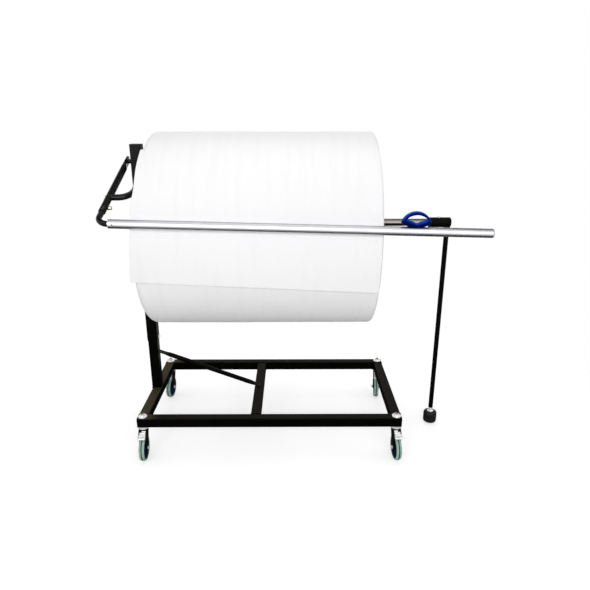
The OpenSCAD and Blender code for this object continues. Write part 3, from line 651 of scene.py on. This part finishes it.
@dataclass
class Roll:
    """The wrap roll, its wound ends and the loose web."""

    left: float = -0.6395
    right: float = 0.5795
    radius: float = 0.547
    core: float = 0.066
    height: float = 1.2874
    turn: float = 0.010
    rim_left: float = 0.034
    rim_right: float = 0.015
    lean: float = 0.0155
    sag: float = 0.0016
    edge_inset: float = 0.0008
    edge_ripple: float = 0.0016
    edge_stagger: float = 0.0035
    web_top: float = 59.0
    web_off: float = 0.0024
    web_wall: float = 0.0008
    drop: float = 0.164
    slant: float = 0.062
    cling: float = 0.55

    def lumps(self, x: Array, a: Array) -> Array:
        """Slow unevenness of the winding: a sum of a few low waves in x and angle."""
        return (np.sin(3.0 * a + 2.1 * x) + 0.7 * np.sin(5.0 * a - 4.3 * x + 1.0)
                + 0.8 * np.sin(9.7 * x + 0.6) + 0.5 * np.sin(2.0 * a + 23.0 * x)) / 3.0

    def leaning(self, p: Array) -> Array:
        """Lets the outer turns creep along the roll at its left end: a shift along X made of two
        cosines of the angle, which fades toward the middle and toward the core.

        Args:
            p: roll points round the X axis.

        Returns:
            The shifted points, at the roll's height.
        """
        away = np.hypot(p[..., 1], p[..., 2]) / self.radius
        front = np.arctan2(p[..., 2], -p[..., 1])
        ramp = smooth(-p[..., 0], -0.10, -self.left) * smooth(away, 0.25, 1.0)
        once, twice = front + math.radians(50.0), 2.0 * (front - math.radians(45.0))
        moved = p + (0.0, 0.0, self.height)
        moved[..., 0] -= self.lean * (0.5 + np.cos(once) - 0.5 * np.cos(twice)) * ramp
        return moved

    def skin(self) -> None:
        """Outer turn: a closed sleeve of revolution with round rims; its radius dips by slow lumps."""
        along, count = 112, 240
        e, f = self.rim_left, self.rim_right
        q = np.linspace(0.0, 0.5 * np.pi, 8)
        inset, depth = np.array([0.002, 0.012]), np.array([0.006, 0.009])
        x = join(np.linspace(self.left + e, self.right - f, along), self.right - f + f * np.sin(q[1:]),
                 self.right - inset, self.left + inset[::-1], self.left + e - e * np.cos(q[:-1]))
        r = self.radius + join(np.zeros(along), f * np.cos(q[1:]) - f, -f - depth,
                               -e - depth[::-1], e * np.sin(q[:-1]) - e)
        outer = smooth(r, self.radius - 0.008, self.radius - 0.001)[:, None]
        sag = self.sag * (self.lumps(x[:, None], ring(count)) + 1.0) * outer
        p = self.leaning(revolve_x(x, r[:, None] - sag, count))
        far = travelled(points(x, r))
        rows = round(TAU * self.radius / FILM.row)
        uv = points(join(far, far[-1] + 0.01)[:, None], np.linspace(0.0, FILM.row * rows, count + 1))
        Piece("wrap_outer_turn").grid(p, uv=uv).made("roll", FILM, "wrap", ["wrap_roll"])

    def wound(self) -> None:
        """Wound turns: both ends ripple by the cosine of the turn count r / turn - angle / 2 pi,
        and each turn stands a little further in or out, eased along the spiral."""
        count, steps, most = 144, 196, 80
        a = ring(count)
        shift = np.random.default_rng(7).uniform(0.0, 1.0, most)
        xs, rs, turns = [], [], []
        for rim, way, end in ((self.rim_left, 1, self.left), (self.rim_right, -1, self.right)):
            r = np.linspace(self.core + 0.0004, self.radius - rim - 0.002, steps)[:, None] + 0.0 * a
            phase = r / self.turn - a / TAU
            stagger = np.interp(np.floor(phase) + a / TAU, np.arange(most), shift)
            depth = (self.edge_inset + self.edge_ripple * (0.5 + 0.5 * np.cos(TAU * phase))
                     + self.edge_stagger * stagger * smooth(r, self.core, self.core + 0.02))
            xs.append((end + way * depth)[::way])
            rs.append(r[::way])
            turns.append(r[::way, :1] / self.turn)
        p = self.leaning(revolve_x(join(*xs), join(*rs), count))
        wide = join(a[0], TAU)
        uv = points(join(*turns, turns[0][:1]) - wide / TAU, wide)
        Piece("wrap_wound_turns").grid(p, uv=uv).made("roll", EDGE, "wrap")

    def loose_web(self) -> None:
        """Loose web: it rises out of the roll at its upper front, later toward the right, follows it
        down and hangs, where it takes only a share of the roll's curve; it runs slightly to the left.
        Short cells along its edges keep the shading there flat."""
        wide, arc, hang, hem, low_hem = 120, 64, 26, 0.0004, 0.002
        s = join(0.0, np.linspace(hem, 1.0 - hem, wide - 2), 1.0)[None, :]
        t = np.linspace(0.0, 1.0, arc)[:, None]
        d = join(np.linspace(0.0, 1.0 - low_hem, hang)[1:], 1.0)[:, None]
        top = math.radians(self.web_top)
        sunk, lifts, swell, margin, drift = 0.0052, 0.0068, 0.0008, 0.002, 0.010
        late = 0.68 * smooth(s, 0.72, 1.0)
        rise = smooth((t - late) / (1.0 - late), 0.0, 0.30)
        lies = self.radius - sunk + lifts * rise + swell * t
        angle = top * (1.0 - t)
        deep = self.drop + self.slant * s
        ripple = 0.0007 * np.sin(17.0 * s + 0.8) * np.sin(5.0 * s + 2.0) * d
        under = self.cling * (self.radius - np.sqrt(self.radius ** 2 - deep ** 2))
        y = join(-lies * np.cos(angle), -(self.radius + self.web_off) + ripple + under * d ** 2)
        z = self.height + join(lies * np.sin(angle), -deep * d)
        run = join(self.radius * top * t + 0.0 * s, self.radius * top + deep * d)
        stray = 0.031 * np.clip((run - 0.30) / 0.42, 0.0, 1.1) ** 1.8
        left = self.left + margin - drift * smooth(run, 0.24, 0.36) - stray
        right = self.right - margin - drift * run
        x = left + (right - left) * s
        piece = Piece("loose_web").grid(points(x, y, z), Form.SHEET, points(x + 0.030 * run, run))
        web = piece.made("stand", FILM, "wrap", ["web_tail"], wall=self.web_wall)

    def build(self) -> None:
        """Makes the roll's pieces."""
        self.skin()
        self.wound()
        self.loose_web()


@dataclass
class Arm:
    """The swing arm and its yoke leg, with tube ends pressed flat round the pivot."""

    x: float = -0.79525
    pivot: float = 1.673
    slope: float = 22.85
    length: float = 0.530
    outer: float = 0.01775
    bore: float = 0.0147
    edge: float = 0.0006
    sides: int = 48
    flat: float = 0.006
    flat_to: float = 0.036
    round_from: float = 0.090
    tall: float = 0.022
    eye_from: float = 0.016
    eye_radius: float = 0.0222
    yoke_at: float = 0.392
    yoke: float = 0.015875
    bend: float = 0.070
    span: float = 0.112625
    thumb_at: float = 0.494

    def placed(self, p: Array) -> Array:
        """Arm coordinates, with the arm along -Y from the pivot, turned into the frame."""
        return turned(p, Axis.X, self.slope) + (self.x, 0.0, self.pivot)

    def eye(self) -> Array:
        """Distances below the pivot of the sections from the eye's tip to the start of the round tube."""
        return join(np.linspace(-0.038, -0.018, 10), np.linspace(-0.012, self.flat_to, 7),
                    np.linspace(0.041, self.round_from, 12))

    def pressed(self, s: Array, r: float) -> tuple[Array, Array, Array]:
        """Section of a tube whose end is pressed flat.

        Args:
            s: distance below the pivot.
            r: radius of the round part.

        Returns:
            Half thickness, half height and section exponent; flat near the pivot, eased into the
            round part, with the half height falling on a circle past the pivot.
        """
        go = smooth(s, self.flat_to, self.round_from)
        past = (np.minimum(s, -self.eye_from) + self.eye_from) / self.eye_radius
        end = np.sqrt(np.clip(1.0 - past ** 2, 0.0, 1.0))
        thick = self.flat * np.clip(0.35 + end, 0.0, 1.0) + (r - self.flat) * go
        return thick, (self.tall + (r - self.tall) * go) * np.maximum(end, 0.04), 0.45 + 0.55 * go

    def arm_tube(self) -> None:
        """Arm: superellipse sections from the flat eye to the round tube, then back inside the open
        end; a boss turned round the thumbscrew's axis stands on its right."""
        s = join(self.eye(), np.linspace(0.12, self.length - self.edge, 16))
        a, b, power = self.pressed(s, self.outer)
        mouth = [self.outer - self.edge, self.bore + 0.0005, self.bore, self.bore]
        s = join(s, self.length, self.length, self.length - 0.001, 0.44)
        p = sweep(points(0.0, -s, 0.0), (1.0, 0.0, 0.0), (0.0, 0.0, 1.0), join(a, mouth), join(b, mouth),
                  self.sides, join(power, np.ones(len(mouth))))
        arm = Piece("arm_pressed_tube").grid(self.placed(p), Form.ROD)
        x = np.array([0.0150, 0.0230, 0.0237, 0.0237, 0.0150])
        r = np.array([0.0090, 0.0090, 0.0083, 0.0043, 0.0043])
        boss = revolve_x(x, r, 32) - (0.0, self.thumb_at, 0.0)
        arm.grid(self.placed(boss)).made("arm", PAINT_ARM, "frame_paint", ["arm_tube"])

    def yoke_leg(self) -> None:
        """Yoke leg: a cross run, a quarter circle and a run back beside the mast to its flat eye."""
        run = self.span - self.bend
        cross = np.linspace(0.010, run, 5)[:-1]
        t = np.linspace(0.0, 0.5 * np.pi, 17)
        back = join(np.linspace(self.yoke_at - self.bend, 0.11, 9)[1:], self.eye()[::-1])
        x = join(cross, run + self.bend * np.sin(t), np.full(len(back), self.span))
        y = join(0.0 * cross, self.bend - self.bend * np.cos(t), self.yoke_at - back) - self.yoke_at
        head = join(0.0 * cross, t, np.full(len(back), 0.5 * np.pi))
        side = points(np.sin(head), -np.cos(head), 0.0)
        s = join(np.full(len(cross) + len(t), self.yoke_at), back)
        a, b, power = self.pressed(s, self.yoke)
        p = sweep(points(x, y, 0.0), side, (0.0, 0.0, 1.0), a, b, self.sides, power)
        yoke = Piece("yoke_bent_tube").grid(self.placed(p), Form.ROD)
        yoke.made("arm", PAINT_ARM, "frame_paint", ["yoke_leg"])

    def build(self) -> None:
        """Makes the arm's pieces."""
        self.arm_tube()
        self.yoke_leg()


@dataclass
class Cutter:
    """The hand cutter's loop handle on the bar."""

    place: Point = (0.718766, -0.584247, 1.389570)
    droop: float = 1.49
    bar: float = 0.0222
    bar_gap: float = 0.0006
    wide: float = 0.146
    top: float = 0.097
    mid: float = 0.040
    low: float = 0.017
    grip: float = 0.098
    grip_low: float = 0.040
    grip_side: float = 0.060
    grip_top: float = 0.078
    grip_shift: float = 0.004
    thick: float = 0.0178
    boxy: float = 0.70
    sides: int = 28
    steps: int = 72

    def arch(self, half: float, ends: float, crown: float) -> Array:
        """Circular arch from (-half, ends) over (0, crown) to (half, ends).

        Args:
            half: half its width.
            ends: height of its ends.
            crown: height of its middle, above or below the ends.

        Returns:
            The points, (steps, 2).
        """
        rise = crown - ends
        r = (half * half + rise * rise) / (2.0 * rise)
        reach = math.asin(half / abs(r))
        t = np.linspace(-reach, reach, self.steps)
        return points(abs(r) * np.sin(t), crown - r + r * np.cos(t))

    @staticmethod
    def softened(loop: Array, passes: int) -> Array:
        """Rounds the corners of a closed outline by repeated three-point averages.

        Args:
            loop: points of the outline.
            passes: how often they are averaged.

        Returns:
            The rounded outline.
        """
        for _ in range(passes):
            loop = 0.25 * np.roll(loop, 1, 0) + 0.5 * loop + 0.25 * np.roll(loop, -1, 0)
        return loop

    def build(self) -> None:
        """Handle: a boxy oval carried round between a lens outline and a finger hole whose floor is a V;
        below, the section rises to sit on the round bar."""
        up = self.arch(self.wide / 2, self.mid, self.top)
        down = self.arch(self.wide / 2, self.mid, self.low)[::-1]
        outer = self.softened(join(up[:-1], down[:-1]), 10)
        roof = self.arch(self.grip / 2, self.grip_side, self.grip_top)
        t = np.linspace(1.0, -1.0, self.steps)
        sill = self.grip_low + (self.grip_side - self.grip_low) * np.abs(t)
        hole = join(roof[:-1], points(t * self.grip / 2, sill)[:-1])
        inner = self.softened(hole, 8) + (self.grip_shift, 0.0)
        mid, reach = 0.5 * (outer + inner), 0.5 * (outer - inner)
        c, s = oval(self.sides, np.full(len(mid), self.boxy))
        plane = mid[:, None, :] + reach[:, None, :] * c[..., None]
        belly = self.thick * (0.80 + 0.20 * smooth(-mid[:, 1], -0.07, -0.035))
        y = belly[:, None] * s
        seat = np.sqrt(np.clip((self.bar + self.bar_gap) ** 2 - y ** 2, 0.0, None))
        p = points(plane[..., 0], y, np.maximum(plane[..., 1], seat))
        p = turned(p, Axis.Y, self.droop) + self.place
        Piece("cutter_loop").grid(p).made("cutter", BLUE, "blue_plastic", ["cutter_handle"])


@dataclass
class Castor:
    """One castor: its dished hub, crowned tyre and stamped brake pedal."""

    name: str
    x: float
    y: float
    swivel: float
    trail: float = 0.032
    wheel: float = 0.075
    sides: int = 96
    rib: float = 0.0022
    crown: float = 0.050
    pin: Point = (0.0, -0.038, 0.1706)
    cheek: float = 0.018
    pedal_half: float = 0.022
    pedal_long: float = 0.043
    pedal_thick: float = 0.0022
    plate_rise: float = 0.0052
    side_rise: float = 0.0045
    hollow: float = 0.0026
    front_roll: float = 0.0060
    tilt: float = 20.0

    def placed(self, p: Array) -> Array:
        """Points of a castor at the origin, which trails toward the user, put in its place."""
        return turned(p, Axis.Z, self.swivel) + (self.x, self.y, 0.0)

    def on_axle(self, half: Array, r: Array) -> Array:
        """Half a profile and its mirror image, turned round the axle."""
        p = revolve_x(join(-half, half[::-1]), join(r, r[::-1]), self.sides)
        return self.placed(p + (0.0, -self.trail, self.wheel))

    def hub(self) -> None:
        """Hub: a profile turned round the axle; six low ribs stand on its dished faces."""
        r = np.array([0.0062, 0.0105, 0.0150, 0.0160, 0.0163, 0.0185, 0.0220,
                      0.0320, 0.0470, 0.0535, 0.0560, 0.0615, 0.0638, 0.0648])
        half = np.array([0.0178, 0.0178, 0.0176, 0.0168, 0.0140, 0.0112, 0.0100,
                         0.0092, 0.0098, 0.0112, 0.0132, 0.0136, 0.0130, 0.0116])
        dish = (smooth(r, 0.017, 0.022) * smooth(-r, -0.053, -0.046))[:, None]
        rib = smooth(np.cos(6.0 * ring(self.sides)), 0.55, 0.95) * dish
        hub = Piece(f"hub_dished_{self.name}").grid(self.on_axle(half[:, None] + self.rib * rib, r))
        hub.made(f"wheel_{self.name}", HUB, "hub_plastic", [f"hub_{self.name}"])

    def tyre(self) -> None:
        """Tyre: a tread crowned by the square of the distance from its middle, with a parting groove
        and stepped side walls; its UV starts with the place across the tread."""
        tread = np.linspace(0.0150, 0.0030, 9)
        half = join([0.0118, 0.0140, 0.0152, 0.0158], tread, [0.0022, 0.0018])
        crown = self.wheel - tread ** 2 / self.crown
        r = join([0.0652, 0.0654, 0.0662, 0.0680], crown, [0.0738, 0.0716])
        across = join(-half, half[::-1], -half[0])[:, None]
        uv = points(across, np.linspace(0.0, 1.0, self.sides + 1))
        tyre = Piece(f"tyre_crowned_{self.name}").grid(self.on_axle(half, r), uv=uv)
        tyre.made(f"wheel_{self.name}", TYRE, "rubber", [f"tyre_{self.name}"])

    def pedal(self) -> None:
        """Pedal: a plate that widens past the fork, with raised sides, a hollow and a rolled front
        edge, on a barrel."""
        u = np.linspace(-1.0, 1.0, 25)[None, :]
        d = np.linspace(0.006, self.pedal_long, 26)[:, None]
        half = 0.0150 + (self.pedal_half - 0.0152) * smooth(d, 0.011, 0.018)
        sides = self.side_rise * smooth(np.abs(u), 0.74, 1.0) * smooth(d, 0.012, 0.022)
        hollow = self.hollow * np.sin(np.pi * np.clip((d - 0.014) / 0.024, 0.0, 1.0)) * (1.0 - u ** 2)
        roll = self.front_roll * smooth(d, 0.037, self.pedal_long + 0.001)
        top = points(half * u, -d, self.plate_rise + sides - hollow - roll)
        low = top - (0.0, 0.0, self.pedal_thick)
        plate = turned(np.concatenate([top, low[:, ::-1]], 1), Axis.X, self.tilt)
        x = self.cheek * np.array([-1.0, -0.97, 0.97, 1.0, 1.0, -1.0])
        barrel = revolve_x(x, np.array([0.0074, 0.0080, 0.0080, 0.0074, 0.0042, 0.0042]), 28)
        pedal = Piece(f"pedal_stamped_{self.name}")
        pedal.grid(self.placed(plate + self.pin), Form.ROD).grid(self.placed(barrel + self.pin))
        pedal.made(f"brake_{self.name}", ZINC, "zinc", [f"pedal_{self.name}"])

    def build(self) -> None:
        """Makes the castor's pieces."""
        self.hub()
        self.tyre()
        self.pedal()


@dataclass
class Castors:
    """The four castors and the threads of their stems."""

    x: float = 0.7365
    y: float = 0.373
    stem: float = 0.0082
    stem_rise: float = 0.0032
    nut_top: float = 0.278
    thread: float = 0.0016
    thread_deep: float = 0.0003

    def corners(self) -> list[Castor]:
        """The castors under the base's corners, each with its turn at rest."""
        return [Castor("fl", -self.x, -self.y, 2.0), Castor("fr", self.x, -self.y, 5.0),
                Castor("rl", -self.x, self.y, -6.0), Castor("rr", self.x, self.y, -6.0)]

    def stems(self) -> None:
        """Stem ends above the nuts: a short rod whose radius follows a cosine of z plus the angle, which
        cuts the thread, closed by a domed tip."""
        a = ring(40)
        z = np.linspace(0.0, self.stem_rise, 22)[:, None]
        r = self.stem + self.thread_deep * np.cos(TAU * z / self.thread - a)
        tip_r, tip_z = np.array([[0.88], [0.55], [0.05]]), np.array([[0.0006], [0.0010], [0.0011]])
        r, z = join(r, self.stem * tip_r + 0.0 * a), join(z, self.stem_rise + tip_z)
        rod = points(r * np.cos(a), r * np.sin(a), z + self.nut_top)
        piece = Piece("stem_threads")
        for castor in self.corners():
            piece.grid(rod + (castor.x, castor.y, 0.0), Form.ROD)
        piece.made("stand", THREAD, "steel")

    def build(self) -> None:
        """Makes the pieces of all castors."""
        for castor in self.corners():
            castor.build()
        self.stems()


@dataclass
class Base:
    """The base's strut and weld beads."""

    top: float = 0.262
    tube: float = 0.057
    low: float = 0.205
    x: float = 0.7365
    y: float = 0.373
    centre: float = -0.083
    mast_x: float = -0.738
    strut_rise: float = 0.247
    strut_end: float = 0.015
    strut_d: float = 0.0286
    strut_sides: int = 40
    tab_half: float = 0.021
    tab_thick: float = 0.0025
    bead: float = 0.0024
    bead_drop: float = 0.0046
    bead_sides: int = 8
    loop_steps: int = 160
    seam: float = 0.0004
    corner: float = 0.0052
    shaft_z: float = 1.326
    socket: float = 0.0273
    socket_x: float = 0.0319

    def strut(self) -> None:
        """Strut: a round tube eased into flat tabs; its end sections slide along the axis on to
        the upright's face and the cross tube's top."""
        start = np.array([self.mast_x + self.tube / 2, 0.0, self.top + self.strut_rise])
        stop = np.array([self.centre + self.strut_end, 0.0, self.top])
        long = float(np.linalg.norm(stop - start))
        axis = (stop - start) / long
        s = join(np.linspace(0.0, 0.080, 15), np.linspace(0.1, long - 0.1, 12),
                 np.linspace(long - 0.080, long, 15))
        go = smooth(np.minimum(s, long - s), 0.030, 0.078)
        r = self.strut_d / 2
        half_w = self.tab_half + (r - self.tab_half) * go
        half_t = self.tab_thick + (r - self.tab_thick) * go
        up = np.cross([0.0, 1.0, 0.0], axis)
        p = sweep(start + axis * s[:, None], (0.0, 1.0, 0.0), up, half_w, half_t, self.strut_sides,
                  0.55 + 0.45 * go)
        p[0] += axis * ((start[0] - p[0, :, 0]) / axis[0])[:, None]
        p[-1] += axis * ((stop[2] - p[-1, :, 2]) / axis[2])[:, None]
        Piece("strut_pressed_tube").grid(p, Form.ROD).made("stand", PAINT, "frame_paint", ["strut"])

    def bead_on(self, loop: Array) -> Array:
        """One weld bead: a small circle carried round a closed loop, its radius rippling like laid drops.

        Args:
            loop: points of the closed, flat loop.

        Returns:
            The bead's grid.
        """
        ahead = np.roll(loop, -1, 0) - np.roll(loop, 1, 0)
        ahead /= np.linalg.norm(ahead, axis=1)[:, None]
        third = len(loop) // 3
        normal = np.cross(loop[third] - loop[0], loop[2 * third] - loop[0])
        normal /= np.linalg.norm(normal)
        r = self.bead * (1.0 + 0.22 * np.abs(np.sin(np.pi * travelled(loop) / self.bead_drop)))
        return sweep(loop, np.cross(ahead, normal), normal, r, r, self.bead_sides)

    def square_loop(self) -> tuple[Array, Array]:
        """Walk round a tube's section: four sides and four quarter circles, at even steps.

        Returns:
            Two coordinates of the loop.
        """
        q, inner = np.linspace(0.0, 0.5 * np.pi, 7), self.tube / 2 + self.seam - self.corner
        side = np.repeat(np.arange(4), len(q))
        a = np.tile(q, 4) + side * 0.5 * np.pi
        u = np.array([1, -1, -1, 1])[side] * inner + self.corner * np.cos(a)
        v = np.array([1, 1, -1, -1])[side] * inner + self.corner * np.sin(a)
        u, v = join(u, u[0]), join(v, v[0])
        far = travelled(points(u, v))
        t = np.linspace(0.0, far[-1], self.loop_steps, endpoint=False)
        return np.interp(t, far, u), np.interp(t, far, v)

    def welds(self) -> None:
        """Weld beads where the cross tubes meet the rails, the upright its tube and the socket the mast."""
        piece = Piece("weld_beads")
        u, v = self.square_loop()
        mid = self.low + self.tube / 2
        wall = self.y - self.tube / 2 - self.seam
        for x in (-self.x, self.centre, self.x):
            for y in (-wall, wall):
                piece.grid(self.bead_on(points(x + u, y, mid + v)))
        piece.grid(self.bead_on(points(self.mast_x + u, v, self.top + 0.0003)))
        a = ring(120)[0]
        socket = points(self.mast_x + self.socket_x, self.socket * np.cos(a),
                        self.shaft_z + self.socket * np.sin(a))
        piece.grid(self.bead_on(socket)).made("stand", PAINT, "frame_paint")

    def build(self) -> None:
        """Makes the base's pieces."""
        self.strut()
        self.welds()


@dataclass(frozen=True)
class Lamp:
    """A soft rectangular lamp; glossy surfaces show it only if it is mirrored."""

    name: str
    place: Point
    aim: Point
    size: tuple[float, float]
    watts: float
    mirrored: bool = True

    def hang(self) -> None:
        """Puts the lamp in the scene, pointed at its aim."""
        data = bpy.data.lights.new(self.name, "AREA")
        data.shape, data.energy = "RECTANGLE", self.watts
        data.size, data.size_y = self.size
        obj = linked(self.name, data)
        d = np.array(self.aim) - np.array(self.place)
        obj.location, obj.visible_glossy = self.place, self.mirrored
        obj.rotation_euler = (math.atan2(math.hypot(d[0], d[1]), -d[2]), 0.0, math.atan2(-d[0], d[1]))


@dataclass
class Studio:
    """Floor, lamps, world and camera."""

    eye: Point = (0.1335, -3.0606, 1.8901)
    pitch: float = 0.319
    yaw: float = 0.005
    sensor: float = 36.0
    focal: float = 527.584 / 590.0
    sky: float = 0.45
    lift: float = 0.48
    ground: Colour = (0.77, 0.77, 0.77)
    white: Colour = (1.0, 1.0, 1.0)
    dark: Colour = (0.02, 0.02, 0.02)
    lamps: tuple[Lamp, ...] = (
        Lamp("lamp_front", (-0.1, -4.2, 2.50), (0.0, -0.3, 1.25), (5.0, 1.0), 101.0),
        Lamp("lamp_top", (0.0, 0.1, 4.3), (0.0, 0.0, 1.2), (3.0, 2.0), 32.0),
        Lamp("lamp_back", (0.2, 4.2, 2.4), (0.0, 0.3, 1.1), (5.0, 1.4), 48.0, mirrored=False),
    )

    def level(self, name: str, x: float, y: tuple[float, float], z: float,
              material: bpy.types.Material) -> bpy.types.Object:
        """One level stage piece.

        Args:
            name: its name.
            x: half its width.
            y: its front and back edge.
            z: its height.
            material: its material.

        Returns:
            The object.
        """
        mesh = bpy.data.meshes.new(name)
        mesh.from_pydata([(-x, y[0], z), (x, y[0], z), (x, y[1], z), (-x, y[1], z)], [], [(0, 1, 2, 3)])
        mesh.materials.append(material)
        obj = linked(name, mesh)
        return obj

    def seen(self, net: Net) -> Sock:
        """1 for rays from the camera, a mirror or glass."""
        camera, mirror, glass = (net.add("ShaderNodeLightPath", {}, f"Is {kind} Ray")
                                 for kind in ("Camera", "Glossy", "Transmission"))
        return camera.most(mirror).most(glass)

    def floor(self) -> None:
        """Pale floor: near the object it keeps the shadow, further out it turns into the white ground."""
        material = bpy.data.materials.new("floor_white")
        net = Net(material)
        place = net.place((0.62, 0.85, 1.0))
        far = net.add("ShaderNodeVectorMath", {0: place}, "Value", operation="LENGTH").step(0.75, 1.7)
        seen = self.seen(net)
        paint = net.add("ShaderNodeBsdfDiffuse", {"Color": self.ground})
        glow = net.add("ShaderNodeEmission", {"Color": self.white, "Strength": seen * self.lift})
        near = net.add("ShaderNodeAddShader", {0: paint, 1: glow})
        white = net.add("ShaderNodeEmission", {"Color": self.white, "Strength": 1.0})
        net.out(net.add("ShaderNodeMixShader", {0: far * seen, 1: near, 2: white}))
        self.level("floor", 14.0, (-14.0, 14.0), 0.0, material)

    def dark_cards(self) -> None:
        """Dark cards above and low in front, seen in bright metal only, so that it keeps dark edges."""
        material = bpy.data.materials.new("card_dark")
        Net(material).surface(Base_Color=self.dark, Roughness=0.9)
        for card in (self.level("card_above", 5.0, (-0.4, 4.0), 4.4, material),
                     self.level("card_below", 4.0, (-2.2, 0.9), 0.01, material)):
            card.visible_camera = card.visible_diffuse = card.visible_shadow = False

    def world(self) -> None:
        """White where it is seen, a dimmer sky where it lights."""
        world = bpy.data.worlds.new("studio_white")
        bpy.context.scene.world = world
        net = Net(world)
        strength = self.sky + self.seen(net) * (1.0 - self.sky)
        back = net.add("ShaderNodeBackground", {"Color": self.white, "Strength": strength})
        net.out(back, "World")

    def camera(self) -> None:
        """Camera fitted to the photo's edges."""
        data = bpy.data.cameras.new("camera")
        data.sensor_width = self.sensor
        data.lens = self.sensor * self.focal
        camera = linked("camera", data)
        camera.location = self.eye
        camera.rotation_euler = (0.5 * math.pi - self.pitch, 0.0, -self.yaw)
        bpy.context.scene.camera = camera

    def build(self) -> None:
        """Sets the stage and the camera."""
        bpy.context.scene.view_settings.view_transform = "Standard"
        self.floor()
        self.dark_cards()
        for lamp in self.lamps:
            lamp.hang()
        self.world()
        self.camera()
        LOG.info("stage set with %d lamps", len(self.lamps))


def main() -> None:
    """Builds the sub-assemblies in order."""
    logging.basicConfig(level=logging.INFO, format="%(name)s: %(message)s")
    Studio().build()
    CarriedSolids().dress()
    Base().build()
    Castors().build()
    Roll().build()
    Arm().build()
    Cutter().build()


if __name__ == "__main__":
    main()
